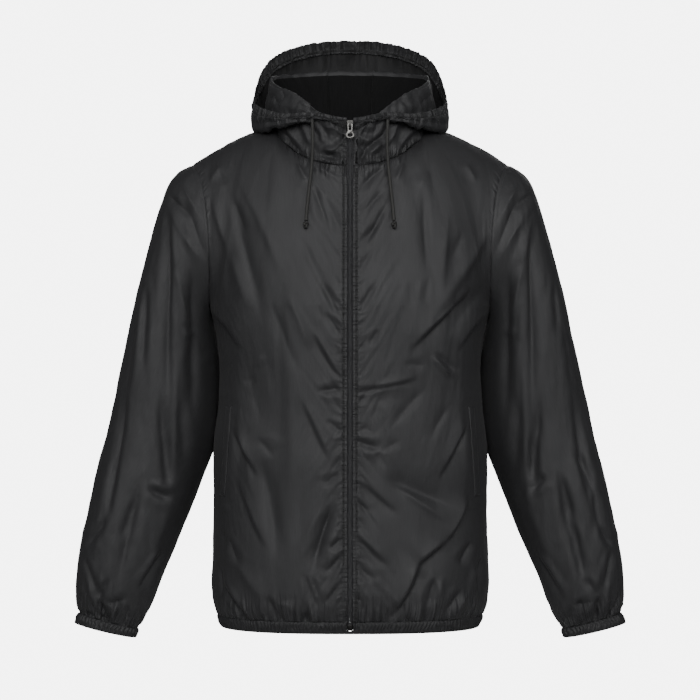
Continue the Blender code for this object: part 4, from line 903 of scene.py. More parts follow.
BACK_FACETS = {"broad": (0.0040, 0.066, 0.300), "middling": (0.0014, 0.026, 0.110), "fine": (0.0010, 0.013, 0.034)}
BACK_PUCKERS = {
    "side": (0.016, 0.024, 0.0011), "top": (0.015, 0.022, 0.0010),
    "hem": (0.0110, 0.026, 0.0026), "hem_long": (0.0240, 0.065, 0.0042),
}
STRIP_HALF_WIDTH = (0.0300, 0.0390)  # centre strip of the hood, at the neck and at the casing


def strip_share():
    """Where the seam of the hood's centre strip meets the neckline, as a share from the centre back."""
    return 2 * math.asin(STRIP_HALF_WIDTH[0] / NECK["half_width"]) / math.pi


def back_form():
    """The back's own form with its large folds, from the right side seam to the left."""
    corner = NECK_TURN / SHOULDER_TURN
    beside_strip = np.linspace(strip_share(), 1, BACK_GRID["neck"] + 1)[1:]
    neck = np.concatenate([np.linspace(0, strip_share(), 6), beside_strip])
    columns = np.concatenate([neck * corner, np.linspace(corner, 1, BACK_GRID["shoulder"] + 1)[1:]])
    rows = torso_rows(BACK_GRID)
    half = torso(columns, rows, 1, 0.0)
    points = np.concatenate([mirrored(half[:0:-1], -1), half])
    share = np.concatenate([columns[:0:-1], columns])
    mask = large_fold_mask(share[:, None], rows[None], -0.12)
    points = points - normals(points) * (creases(points, BACK_FOLDS, "fold") * mask)[..., None]
    points[[0, -1], : BACK_GRID["body"] + 1, 1] += SEAM_GAP / 2
    points[share >= corner, -1, 1] += SEAM_GAP / 2
    return points


def back_points():
    """Outer face of the back, creased and puckered like the fronts."""
    form = back_form()
    u, v = grid_lengths(form)
    from_side, from_hem, from_top = np.minimum(u, u[-1:] - u), v, v[:, -1:] - v
    size, tuck = BACK_FACETS, BACK_PUCKERS
    lift = creases(form, BACK_CREASES, "pinch") + facets(u + 0.2 * v, v, *size["broad"], 13)
    lift += facets(u - 0.2 * v, v, *size["middling"], 23) * patches(u, v, (7, 4), 27)
    lift += facets(u - 0.3 * v, v, *size["fine"], 33) * patches(u, v, (8, 6), 37, 0.1, 0.5)
    lift += puckers(v, from_side, *tuck["side"], 93, slant=-0.4) * fade(from_side, 0.004)
    lift += puckers(u, from_top, *tuck["top"], 113) * fade(from_top, 0.004)
    lift += puckers(u, from_hem, *tuck["hem"], 133, width=0.34)
    lift -= puckers(u, from_hem, *tuck["hem_long"], 153, width=0.19)
    lift *= fade(np.minimum(from_side, from_top), 0.006) * fade(from_hem + 0.001, 0.003)
    lift += groove(from_side, *SEAM_DIP) + groove(from_top, *SEAM_DIP)
    return form - normals(form) * lift[..., None]


back_face = back_points()
cloth_piece(
    "back_panel", "back", turned_under(turned_under(back_face, 1, 0, -1, *HIDDEN_EDGE), 1, -1, -1),
    black_taffeta, outside=-1, reverse=shaded_reverse,
    gathers=(0.055, 0.020, 0.020, 0.020),
)
lines = [line_beside(back_face, 0.0040, 1, True, -1), line_beside(back_face, 0.0035, 1, outside=-1)]
stitches("back_stitches", lines, black_thread)

# Hem -------------------------------------------------------------------------------------------------------
# A narrow casing of the same taffeta with elastic inside, which gathers the jacket's foot into fine upright
# ribs. It is open at the zip.
HEM_Z = -0.6850
HEM_NARROWING = 0.972
HEM_RIB = 0.0052  # one rib to the next
HEM_RIB_DEPTH = 0.0028
HEM_ROWS = 9
HEM_COLUMNS = 1160
ZIP_CLOSING = 0.0056  # how far each end of the hem's foot closes in under the zip
GATHERED_EDGE = {"beyond": 0.0030, "inward": 0.0030}  # how the edge of a gathered casing turns under at its seam


def polyline(line, share):
    """Points on an open line of straight runs, at those shares of its length."""
    along = lengths_along(line)
    return np.stack([np.interp(share * along[-1], along, line[:, k]) for k in range(3)], axis=1)


def ribs(along, up, pitch, seed):
    """Gathers over elastic, from 0 to 1: upright ribs of uneven width that fork and close up here and there."""
    drift = 1.1 * ripple(along / (4 * pitch), up * 1.3, seed)
    drift = drift + 0.5 * ripple(along / (1.6 * pitch), up * 2.5, seed + 1)
    wave = np.abs(np.cos(math.pi * (along / pitch + drift)))
    return wave**0.8 * (0.55 + 0.45 * fade(ripple(along / (2.5 * pitch), up * 2, seed + 2) + 0.5, 0.8))


def elastic_casing(start, end, along, rows, outward, fullness, rib, rib_depth, seed, stitch_dip=0.0):
    """Outer face of a casing over elastic, rounded over and ribbed, from one ring of points to another."""
    along, up = np.meshgrid(along, np.linspace(0, 1, rows + 1), indexing="ij")
    round_over = np.sin(math.pi * up) ** 0.6
    lift = fullness * round_over + rib_depth * ribs(along, up, rib, seed) * (0.45 + 0.55 * round_over)
    lift += groove(up - 0.5, stitch_dip, 0.06)
    return start[:, None] + (end - start)[:, None] * up[..., None] + outward[:, None] * lift[..., None]


def hem_points():
    """Outer face of the hem, from the zip round the left side and the back to the zip again, foot first."""
    left, right, back = front_form(1)[:, 0], front_form(-1)[:, 0], back_form()[:, 0]
    top = np.concatenate([left, back[::-1], right[::-1]])
    top[:, 2] = HEM_TOP_Z - SEAM_GAP
    foot = top * (HEM_NARROWING, HEM_NARROWING, 1)
    foot[:, 2] = HEM_Z
    foot[[0, -1], 0] = top[[0, -1], 0]
    share = np.linspace(0, 1, HEM_COLUMNS)
    top, foot = polyline(top, share), polyline(foot, share)
    outward = unit(np.cross(np.gradient(top, axis=0), (0, 0, 1)))
    points = elastic_casing(
        foot, top, lengths_along(top), HEM_ROWS, outward, 0.0010, HEM_RIB, HEM_RIB_DEPTH, 7, stitch_dip=0.0005
    )
    from_middle, near_foot = np.abs(points[..., 0]), fade(0.36 - np.linspace(0, 1, HEM_ROWS + 1), 0.14)
    closer = ZIP_CLOSING * np.clip(1.1 - (from_middle - ZIP_EDGE_X) / 0.012, 0, 1) * near_foot * (points[..., 1] < 0)
    points[..., 0] = np.sign(points[..., 0]) * np.maximum(from_middle - closer, 0.0001)
    return points


# Painted shade: the same taffeta as the body, painted darker for the gathered hem and cuffs.
shaded_elastic_taffeta = taffeta("shaded_elastic_taffeta", (0.0125, 0.0125, 0.0136), 0.68, wrinkle=0.0003)
cloth_piece(
    "hem_gathers", "hem_band", turned_under(hem_points(), 1, -1, **GATHERED_EDGE), shaded_elastic_taffeta,
)

# Sleeves ---------------------------------------------------------------------------------------------------
# Each is one piece of taffeta set into the armhole with a seam under the arm, and hangs down a little forward.
# Drag folds run from the shoulder under the arm, and long ones down to the elbow and on to the gathered cuff.
SLEEVE = {
    "columns": ("outer_x", "outer_y", "outer_z", "inner_x", "inner_y", "inner_z", "half_depth"),
    "sections": millimetres(
        (221, 0, -42, 195, 0, -240, 70), (242, 0, -54, 193, 10, -254, 73), (256, 0, -74, 190, 18, -268, 75),
        (271.5, 0, -120, 185.5, 28, -290, 77), (288, 0, -182, 181.5, 34, -320, 78),
        (308.5, 0, -270, 181, 36, -365, 76), (327, 0, -357, 186, 30, -422, 72),
        (343, -2, -425, 207, 20, -480, 68), (355.6, -6, -477, 224.5, 10, -525, 65),
        (370, -10, -544.6, 246, 0, -578, 60), (378.5, -13, -590, 262, -8, -616, 53),
        (382, -15, -630, 275, -14, -652, 43), (381, -15.5, -653, 286, -16, -674, 32),
        (376.6, -16, -666.4, 295.7, -17, -687.8, 25),
    ),
}
SLEEVE_CLEARANCE = 0.0020
SLEEVE_NEAR_X = 0.235  # inside here the sleeve is kept clear of the body
SLEEVE_FACETS = {"broad": (0.0023, 0.040, 0.300), "middling": (0.0010, 0.018, 0.120), "fine": (0.0009, 0.011, 0.034)}
SLEEVE_PUCKERS = {
    "armhole": (0.017, 0.034, 0.0018), "cuff": (0.0112, 0.034, 0.0022), "cuff_long": (0.0240, 0.080, 0.0042),
}
SLEEVE_AROUND = 144
SLEEVE_ALONG = 188
SLEEVE_FOLDS = millimetres(
    (249, -101, 250, -411, 0, 8.1, -8.5), (278, -150, 305, -397, 0, 13.5, 2.6),
    (217, -180, 211, -370, 0, 16.2, -9), (261, -363, 253, -491, 0, 8.8, -8.5),
    (239, -301, 245, -501, 0, 8.1, 3.5), (307, -353, 334, -535, 0, 6.8, -6.5),
    (288, -472, 325, -637, 3, 10.8, -8), (245, -507, 289, -628, 0, 12.2, 3),
    (344, -590, 338, -645, 0, 9.5, 1.2),
)
SLEEVE_FRONT_CREASES = {
    -1: millimetres(
        # right sleeve, seen on the left; x is measured outwards
        (252, -86, 216, -119, -1, 6.1, -3.8), (219, -114, 195, -181, -1, 6.1, -4.2),
        (230, -75, 198, -129, -1, 5.4, 3), (250, -106, 230, -147, 0, 4.9, 1.4),
        (230, -144, 198, -183, -1, 4.9, 2), (246, -117, 239, -194, 0, 5.1, 1.8),
        (239, -188, 222, -269, -1, 5.1, 1.8), (202, -84, 200, -118, 0, 5.4, -3.6),
        (230, -273, 217, -279, -3, 5.1, 1.8), (220, -279, 216, -397, 0, 6.8, -4),
        (281, -209, 290, -342, 1, 5.1, -3.4), (288, -232, 293, -331, 0, 4.6, 1.3),
        (297, -257, 311, -370, 0, 5.4, -2.4), (204, -319, 187, -304, 0, 4.9, 3),
        (195, -232, 193, -280, 0, 4.6, -2.6), (336, -532, 366, -573, 1, 5.9, -4.4),
        (322, -447, 336, -535, 0, 5.4, -2.6), (277, -490, 246, -507, -1, 5.7, -4.6),
        (272, -483, 250, -494, -1, 5.4, 1.8), (253, -411, 250, -496, 0, 5.1, -3),
        (260, -579, 293, -634, 0, 4.6, -3.2), (264, -576, 297, -631, 0, 4, 2),
        (369, -584, 345, -649, 1, 4.6, -3.2), (347, -645, 333, -681, 0, 5.7, -5.4),
        (332, -615, 348, -645, 0, 5.1, -3.8), (338, -648, 305, -641, -4, 5.1, -2.4),
        (330, -662, 303, -664, -3, 5.4, 0.8), (361, -617, 352, -662, 0, 4.9, 1.3),
        (319, -642, 322, -675, 0, 4.9, -3), (358, -651, 355, -675, 0, 4.6, -3),
        (308, -653, 305, -678, 0, 4.9, -3), (316, -411, 327, -466, 0, 5.4, 0.9),
        (297, -507, 314, -562, 0, 5.9, -2.4), (281, -521, 294, -590, 0, 6.8, 0.7),
        (234, -370, 228, -466, 0, 6.1, -2.6),
    ),
    1: millimetres(
        # left sleeve, seen on the right
        (252, -86, 226, -106, 1, 6.1, -3.8), (228, -101, 195, -180, 1, 6.1, -4.2),
        (231, -75, 204, -125, 1, 5.4, 3), (239, -119, 201, -183, 1, 5.1, 2),
        (250, -117, 238, -184, 0, 5.1, 1.8), (238, -180, 224, -262, 1, 5.1, 1.8),
        (202, -86, 198, -119, 0, 5.4, -3.6), (213, -275, 228, -272, 3, 5.1, 1.8),
        (219, -282, 215, -397, 0, 6.8, -4), (282, -210, 288, -280, -1, 5.1, -3.2),
        (297, -273, 308, -356, 0, 5.7, -2.2), (198, -315, 184, -301, 0, 4.9, 3),
        (252, -411, 252, -496, 0, 5.7, -4.4), (250, -496, 268, -474, 0, 5.4, -4),
        (246, -491, 246, -514, 0, 4.9, 1.6), (288, -469, 308, -542, 0, 6.2, -3.6),
        (307, -538, 322, -617, 0, 6.2, -3.6), (322, -615, 345, -642, 0, 5.4, -3.4),
        (312, -439, 338, -501, -1, 5.7, -3.6), (337, -496, 345, -549, 0, 5.7, -3.6),
        (344, -545, 363, -573, 0, 5.7, -4.4), (362, -573, 347, -642, -1, 4.9, -3.4),
        (348, -637, 338, -678, 0, 5.7, -5.4), (304, -651, 337, -644, 4, 5.1, -2.4),
        (300, -664, 330, -662, 3, 5.4, 0.8), (358, -617, 352, -662, 0, 4.9, 1.3),
        (316, -642, 322, -675, 0, 4.9, -3), (361, -645, 358, -670, 0, 4.6, -3),
        (305, -653, 303, -678, 0, 4.9, -3), (253, -578, 297, -649, 0, 4.6, -2.4),
        (259, -575, 301, -645, 0, 4, 2), (325, -411, 333, -466, 0, 5.9, 0.8),
        (283, -507, 292, -590, 0, 6.8, 0.7), (234, -370, 228, -466, 0, 6.1, -2.6),
    ),
}
SLEEVE_BACK_CREASES = millimetres(
    (246, -80, 212, -170, -6, 8, -3.4), (262, -110, 228, -230, -8, 9, 3.2), (230, -190, 208, -270, -4, 7, -3),
    (280, -180, 278, -340, 6, 10, -3), (300, -300, 240, -390, -10, 8, -3.8),
    (315, -360, 236, -420, -10, 8, 3.4), (322, -395, 250, -460, -8, 7, -3.8),
    (330, -440, 262, -490, -6, 7, 2.8), (300, -470, 320, -600, 7, 9, -3.4), (345, -500, 352, -620, 4, 9, 2.6),
    (280, -560, 310, -660, 6, 8, -3.2), (365, -590, 350, -670, -4, 7, -3.4),
)


def oval(outer, inner, half_depth, angle):
    """Points of an oval between two points. angle 0 is at the outer one and 90 degrees at the front."""
    swing = (1 + np.cos(angle))[..., None] / 2
    points = inner + (outer - inner) * swing
    points[..., 1] -= half_depth * np.sin(angle)
    return points


def body_tree():
    """The left front and the back, to keep the sleeve clear of."""
    corners, faces = [], []
    for points in (front_form(1)[::4, ::4], back_form()[::4, ::4]):
        columns, rows = points.shape[:2]
        first = len(corners)
        corners += [Vector(point) for point in points.reshape(-1, 3)]
        starts = (first + i * rows + j for i in range(columns - 1) for j in range(rows - 1))
        faces += [(a, a + rows, a + rows + 1, a + 1) for a in starts]
    return BVHTree.FromPolygons(corners, faces)


def sleeve_form():
    """The left sleeve's own form with its large folds, round it from its outer side by the front and down."""
    angle = np.linspace(0, 2 * math.pi, SLEEVE_AROUND, endpoint=False)
    angle, along = np.meshgrid(angle, np.linspace(0, 1, SLEEVE_ALONG + 1) ** 1.1, indexing="ij")
    keys = np.linspace(0, 1, len(SLEEVE["sections"]))
    column = {name: smooth(keys, values, along) for name, values in zip(SLEEVE["columns"], zip(*SLEEVE["sections"]))}
    ends = [np.stack([column[f"{end}_{axis}"] for axis in "xyz"], axis=-1) for end in ("outer", "inner")]
    points = oval(*ends, column["half_depth"], angle)
    turn = np.minimum(angle[:, 0], 2 * math.pi - angle[:, 0]) / math.pi
    seam = np.where((angle[:, 0] < math.pi)[:, None], armhole(turn, -1), armhole(turn, 1))
    points += fade(0.22 - along, 0.22)[..., None] * (seam - points[:, 0])[:, None]
    mask = fade(along - 0.02, 0.15) * fade(1.02 - along, 0.08) * (0.35 + 0.65 * fade(np.sin(angle) + 0.2, 0.6))
    points = points + normals(points, True) * (creases(points, SLEEVE_FOLDS, "fold") * mask)[..., None]
    tree = body_tree()
    for i, j in np.argwhere(points[:, 1:, 0] < SLEEVE_NEAR_X) + (0, 1):
        hit = tree.ray_cast(Vector((0.5, points[i, j, 1], points[i, j, 2])), Vector((-1, 0, 0)))[0]
        if hit is not None and hit.x > NECK["half_width"]:
            clear = SEAM_GAP + (SLEEVE_CLEARANCE - SEAM_GAP) * float(fade(along[i, j], 0.12))
            points[i, j, 0] = max(points[i, j, 0], hit.x + clear)
    points[:, 0, 0] += SEAM_GAP
    return points, angle


def sleeve_points(side):
    """Outer face of one sleeve, creased and puckered, mirrored to its side afterwards."""
    form, angle = left_sleeve
    u, v = grid_lengths(form)
    to_front, to_back = fade(np.sin(angle) + 0.15, 0.3), fade(-np.sin(angle) + 0.15, 0.3)
    from_armhole, from_cuff = v, v[:, -1:] - v
    size, tuck = SLEEVE_FACETS, SLEEVE_PUCKERS
    lift = creases(form, SLEEVE_FRONT_CREASES[side], "pinch") * to_front
    lift += creases(form, SLEEVE_BACK_CREASES, "pinch") * to_back
    x, y, z = form[..., 0], form[..., 1], form[..., 2]
    calm = 0.35 + 0.65 * fade(from_armhole - 0.08, 0.12)
    lift += facets(x + 0.5 * y, z, *size["broad"], 15 + side) * calm
    lift += facets(x + 0.5 * y, z + 0.3 * x, *size["middling"], 19 + side)
    lift += facets(x + 0.4 * y, z + 0.3 * x, *size["fine"], 35 + side)
    lift += puckers(u, from_armhole, *tuck["armhole"], 95 + side) * fade(from_armhole, 0.004)
    lift += puckers(u, from_cuff, *tuck["cuff"], 135 + side, width=0.32)
    lift -= puckers(u, from_cuff, *tuck["cuff_long"], 155 + side, width=0.17)
    close = 0.25 + 0.75 * fade(x - 0.200, 0.03)
    lift *= fade(from_armhole, 0.008) * fade(from_cuff + 0.001, 0.004) * close
    lift += groove(from_armhole, 0.0008, 0.0025)
    return form + normals(form, True) * lift[..., None]


def mirrored_lines(lines, side):
    """Lines of places and normals, on that side of the jacket."""
    return [line * (side, 1, 1, side, 1, 1) for line in lines]


left_sleeve = sleeve_form()
for side, name in SIDES:
    face = sleeve_points(side)
    points = turned_under(face, 1, -1, beyond=0.0045, inward=0.0018, wrap=True)
    cloth_piece(
        f"sleeve_{name}_panel", f"sleeve_{name}", mirrored(points, side), black_taffeta,
        wrap=True, outside=side, reverse=shaded_reverse, gathers=(0, 0.048, 0, 0),
    )
    rings = np.concatenate([face, face[:1]])
    lines = [line_beside(rings, 0.0050, 1), line_beside(rings, 0.0030, 1, from_end=True)]
    stitches(f"sleeve_{name}_stitches", mirrored_lines(lines, side), black_thread)

# Cuffs -----------------------------------------------------------------------------------------------------
# A narrow casing with elastic inside at the end of each sleeve, ribbed like the hem.
CUFF_FOOT = {"outer": (0.3830, -0.0165, -0.6810), "inner": (0.2990, -0.0175, -0.7010), "half_depth": 0.0262}
CUFF_RIB = 0.0060
CUFF_RIB_DEPTH = 0.0025
CUFF_ROWS = 12
CUFF_COLUMNS = 360


def cuff_points(seed):
    """Outer face of the left cuff, from the sleeve's end down."""
    form, angle = left_sleeve
    foot = oval(np.array(CUFF_FOOT["outer"]), np.array(CUFF_FOOT["inner"]), CUFF_FOOT["half_depth"], angle[:, 0])
    top = form[:, -1]
    down = unit(foot.mean(axis=0) - top.mean(axis=0))
    share = np.linspace(0, 1, CUFF_COLUMNS + 1)
    top, foot = (polyline(np.concatenate([ring, ring[:1]]), share)[:-1] for ring in (top + down * SEAM_GAP, foot))
    outward = unit(np.cross(np.roll(top, -1, 0) - np.roll(top, 1, 0), down))
    along = share[:-1] * round(lengths_along(top)[-1] / CUFF_RIB) * CUFF_RIB
    return elastic_casing(top, foot, along, CUFF_ROWS, outward, 0.0008, CUFF_RIB, CUFF_RIB_DEPTH, seed)


for side, name in SIDES:
    points = turned_under(cuff_points(17 + side), 1, 0, **GATHERED_EDGE, wrap=True)
    cloth_piece(
        f"cuff_{name}_gathers", f"cuff_{name}", mirrored(points, side), shaded_elastic_taffeta,
        wrap=True, outside=side,
    )

# Hood ------------------------------------------------------------------------------------------------------
# Two sides and a centre strip of the taffeta, open and fallen back: up from the neck seam to a ridge, down
# outside it into a pouch behind the shoulders, and up again to the edge.
HOOD = {
    "half_width": (0.0980, 0.1010, 0.1090, 0.1145, 0.1210, 0.1300, 0.1370, 0.1388, 0.1370, 0.1340),
    "front_y": (-0.1000, -0.1010, -0.1025, -0.1035, -0.1045, -0.1058, -0.1068, -0.1072, -0.1072, -0.1065),
    "side_y": (0.0, 0.0, 0.0, 0.0020, 0.0050, 0.0080, 0.0100, 0.0100, 0.0080, 0.0060),
    "back_y": (0.0720, 0.0750, 0.0800, 0.0960, 0.1220, 0.1460, 0.1710, 0.1800, 0.1650, 0.1560),
}
HOOD_ANGLES = (0, 20, 40, 65, 90, 130, 180)
HOOD_Z = {
    "tube": (-0.0260, -0.0100, 0.0060, 0.0300, 0.0440, 0.0500, 0.0520),
    "ridge": (-0.0040, 0.0210, 0.0460, 0.0640, 0.0790, 0.0900, 0.0970),
    "fall": (0.0000, 0.0195, 0.0380, 0.0500, 0.0600, 0.0640, 0.0680),
    "lower_fall": (0.0025, 0.0165, 0.0240, 0.0280, 0.0300, 0.0100, -0.0120),
    "pouch_bottom": (0.0045, 0.0140, 0.0100, 0.0050, 0.0060, -0.0350, -0.0800),
    "lower_outside": (0.0060, 0.0142, 0.0115, 0.0085, 0.0110, -0.0180, -0.0600),
    "outside": (0.0075, 0.0150, 0.0135, 0.0170, 0.0240, 0.0460, 0.0350),
    "casing_seam": (0.0090, 0.0165, 0.0160, 0.0235, 0.0370, 0.1060, 0.1355),
    "rim": (0.0146, 0.0227, 0.0224, 0.0340, 0.0500, 0.1195, 0.1480),
}
RIDGE_RING = 2
CASING_RING = 8
HOOD_ROWS = 122
HOOD_RINGS = np.linspace(0, CASING_RING, HOOD_ROWS + 1)
HOOD_FACETS = {
    "broad": (0.0030, 0.030, 0.110), "fine": (0.0012, 0.014, 0.030), "ridge": (0.0016, 0.012, 0.060),
    "stand": (0.0026, 0.012, 0.034), "low_edge": (0.0070, 0.017, 0.050),
}
HOOD_PUCKERS = {"casing": (0.0090, 0.030, 0.0030), "neck": (0.013, 0.018, 0.0014)}
LOW_EDGE_HANG = 0.0040
STAND_BULGE = 0.0100
# Painted shade inside the hood: near black below the first ring, and the darker reverse above the second.
PAINTED_SHADE_TOP_RING = RIDGE_RING - 0.26
SHADED_REVERSE_FROM_RING = RIDGE_RING + 3


def strip_edge(ring):
    """Angle at which the seam between the hood's side and its centre strip crosses a ring."""
    half = STRIP_HALF_WIDTH[0] + (STRIP_HALF_WIDTH[1] - STRIP_HALF_WIDTH[0]) * ring / CASING_RING
    return math.pi - np.arcsin(half / smooth(range(len(HOOD["half_width"])), HOOD["half_width"], ring))


def hood(angle, ring, edge=ZIP_EDGE_X):
    """Points of the hood. angle runs from the centre front round to the back; ring from the neck to the rim."""
    forward = np.cos(angle)
    keys = np.arange(len(HOOD["half_width"]))
    half_width, side_y, front_y, back_y = (
        smooth(keys, HOOD[name], ring) for name in ("half_width", "side_y", "front_y", "back_y")
    )
    x = edge + (half_width - edge) * np.sin(angle)
    y = side_y + np.where(forward > 0, (front_y - side_y) * forward, -(back_y - side_y) * forward)
    around = (-HOOD_ANGLES[1], *HOOD_ANGLES, 360 - HOOD_ANGLES[-2])
    heights = [neckline(angle)[..., 2]]
    heights += [smooth(around, (row[1], *row, row[-2]), np.degrees(angle)) for row in HOOD_Z.values()]
    heights = np.array(heights).reshape(len(keys), -1)
    z = [smooth(keys, heights[:, i], r) for i, r in enumerate(ring.ravel())]
    return np.stack([x, y, np.reshape(z, x.shape)], axis=-1)


# Creases of the stand under the chin, in the front view, the same columns as those of the fronts
CHIN_CREASES = {
    -1: millimetres(
        (-7, -10, -31, -32, -4, 4.6, 5.2), (-11, -18, -34, -37, -4, 4, -4.4), (-38, -25, -10, -29, 3, 4, 3.8),
        (-41, -33, -8, -39, 4, 4, -3.4), (-83, 10, -56, -37, 0, 6.2, 5), (-88, 3, -67, -40, 0, 4.9, -4.2),
        (-68, 14, -50, -24, 0, 4.6, 3.6), (-60, 17, -43, -16, 0, 4, -3.4), (-43, 12, -27, -18, 1, 4.3, -3.2),
        (-27, 14, -16, -7, 1, 4, 3), (-52, -40, -16, -45, 0, 3.8, 2.4), (-14, 12, -24, -5, 0, 3.8, -2.6),
        (-38, 3, -12, 1, 1, 3.8, 2.2), (-73, 1, -60, -29, 0, 4.3, -2.6),
    ),
    1: millimetres(
        (48, -7, 23, -26, 0, 4.6, -5.4), (23, -25, 18, -43, 0, 4.3, -5.2), (43, -18, 22, -37, 0, 4.3, 4.6),
        (11, -7, 33, -18, 3, 4.3, 3.6), (83, 10, 56, -37, 0, 6.2, 5), (88, 3, 67, -40, 0, 4.9, -4.2),
        (68, 14, 50, -24, 0, 4.6, 3.6), (60, 17, 43, -16, 0, 4, -3.4), (41, 14, 30, -13, 0, 4.3, -3.2),
        (24, 12, 14, -7, 0, 4, 3), (52, -40, 16, -45, 0, 3.8, 2.4), (11, -21, 22, -29, 0, 3.8, -2.6),
        (16, 6, 38, 1, 1, 3.8, 2.2), (73, 1, 60, -29, 0, 4.3, -2.6),
    ),
}


def hood_side_form():
    """The left side of the hood before its crumples, with the shares and rings that its points lie at."""
    in_front = front_neck_shares() * math.pi / 2
    behind = np.linspace(math.pi / 2, strip_edge(0.0), 34)[1:]
    share = np.concatenate([in_front, behind]) / strip_edge(0.0)
    share, ring = np.meshgrid(share, HOOD_RINGS, indexing="ij")
    points = hood(share * strip_edge(ring), ring)
    points[:, 0, 2] += SEAM_GAP
    points[-1, :, 0] += SEAM_GAP / 2
    return points, share, ring


def hood_lift(points, ring, seed):
    """Crumples of the hood's loose cloth, with gathers that run down from the casing's seam and off the ridge."""
    u, v = grid_lengths(points)
    lift = facets(u, v + 0.2 * u, *HOOD_FACETS["broad"], seed)
    lift += facets(u + 0.3 * v, v, *HOOD_FACETS["fine"], seed + 20)
    lift += puckers(u, v[:, -1:] - v, *HOOD_PUCKERS["casing"], seed + 40, width=0.32)
    return lift + facets(u, v, *HOOD_FACETS["ridge"], seed + 60) * fade(1.2 - np.abs(ring - 2.4), 0.6)


def hood_side_points(side):
    """Outer face of one side of the hood, mirrored to its side afterwards."""
    form, share, ring = hood_side_form()
    u, v = grid_lengths(form)
    from_zip, from_strip, from_neck = u, u[-1:] - u, v
    front = fade(0.62 - share, 0.2)
    chin = creases(mirrored(form, side), CHIN_CREASES[side], "pinch")
    lift = hood_lift(form, ring, 17 + side) + chin * fade(2.6 - ring, 0.6) * fade(0.50 - share, 0.15)
    lift += puckers(u, from_neck, *HOOD_PUCKERS["neck"], 97 + side) * fade(from_neck, 0.004)
    lift += facets(u - 0.4 * v, v, *HOOD_FACETS["stand"], 81 + side) * fade(2.4 - ring, 0.6) * front
    lift += facets(u, v, *HOOD_FACETS["low_edge"], 57 + side) * fade(1.9 - np.abs(ring - 3.9), 0.8) * front
    lift += LOW_EDGE_HANG * fade(1.6 - np.abs(ring - 5), 1.0) * fade(share - 0.10, 0.08) * front
    lift += STAND_BULGE * fade(1.5 - np.abs(ring - 0.9), 0.9) * fade(0.17 - np.abs(share - 0.42), 0.13)
    lift *= fade(from_neck, 0.005) * fade(from_strip, 0.004) * fade(from_zip + 0.001, 0.003) * fade(8.2 - ring, 0.5)
    lift += groove(from_strip, 0.0005, 0.0022)
    return form + normals(form) * lift[..., None]


def hood_strip_points():
    """Outer face of the centre strip, from its right seam to its left one, so that its normals point inwards."""
    share, ring = np.meshgrid(np.linspace(-1, 1, 25), HOOD_RINGS, indexing="ij")
    points = hood(math.pi - (math.pi - strip_edge(ring)) * np.abs(share), ring, ZIP_EDGE_X * np.abs(share))
    points[..., 0] *= np.sign(share)
    points[:, 0, 2] += SEAM_GAP
    points[[0, -1], :, 0] -= np.array([-1, 1])[:, None] * SEAM_GAP / 2
    u, v = grid_lengths(points)
    from_seam = np.minimum(u, u[-1:] - u)
    lift = hood_lift(points, ring, 41) * fade(from_seam, 0.004) * fade(v, 0.005) * fade(8.2 - ring, 0.5)
    return points - normals(points) * (lift + groove(from_seam, 0.0005, 0.0022))[..., None]


def paint_hood_shade(piece, columns):
    """Paints shade on the inside of the hood: near-black matt cloth up to just under the ridge, where the inside
    lies in deep shadow, and the darker reverse inside the outer wall.

    The inner faces follow the outer ones, in the same order.
    """
    piece.data.materials.append(painted_hood_shade)
    piece.data.materials.append(shaded_reverse)
    rows = HOOD_ROWS + 1
    for n in range((columns - 1) * rows):
        ring = n % rows * CASING_RING / HOOD_ROWS
        if ring < PAINTED_SHADE_TOP_RING or ring > SHADED_REVERSE_FROM_RING:
            piece.data.polygons[(columns - 1) * rows + n].material_index = 2 if ring < RIDGE_RING else 3


# Painted shade: a near-black, matt copy of the taffeta that stands for the deep shadow inside the hood below its
# ridge.
painted_hood_shade = taffeta("painted_hood_shade", (0.0078, 0.0078, 0.0080), 0.92, specular=0.12, sheen=0.0)
for side, name in SIDES:
    face = hood_side_points(side)
    points = folded_back(turned_under(turned_under(face, 1, -1, beyond=0.0045, inward=0.0016), 0, -1))
    panel = cloth_piece(
        f"hood_side_{name}_panel", f"hood_side_{name}", mirrored(points, side), black_taffeta,
        outside=side, reverse=black_taffeta, gathers=(0.020, 0.022, 0.030, 0),
    )
    paint_hood_shade(panel, len(points))
    front_half = face[: FRONT_GRID["neck"] + 1]
    lines = [line_beside(front_half, 0.0055, 0), line_beside(face, 0.0030, 1), line_beside(face, 0.0030, 0, True)]
    stitches(f"hood_side_{name}_stitches", mirrored_lines(lines, side), black_thread)
strip_face = hood_strip_points()
strip_panel = cloth_piece(
    "hood_strip_panel", "hood_centre_strip", turned_under(strip_face, 1, -1, -1, beyond=0.0045, inward=0.0016),
    black_taffeta, outside=-1, reverse=black_taffeta,
    gathers=(0.015, 0.035, 0, 0),
)
paint_hood_shade(strip_panel, len(strip_face))

# Hood casing -----------------------------------------------------------------------------------------------
# The hood's edge, folded back over the drawcord and stitched down, which the cord draws up into gathers.
CASING_RIB = 0.0085
CASING_RIB_DEPTH = 0.0030
CASING_ROWS = 14
CASING_COLUMNS = 700
CASING_WIDTH = 0.022
CASING_SCALLOP = 0.0042
CASING_BACK_BULGE = 0.0065


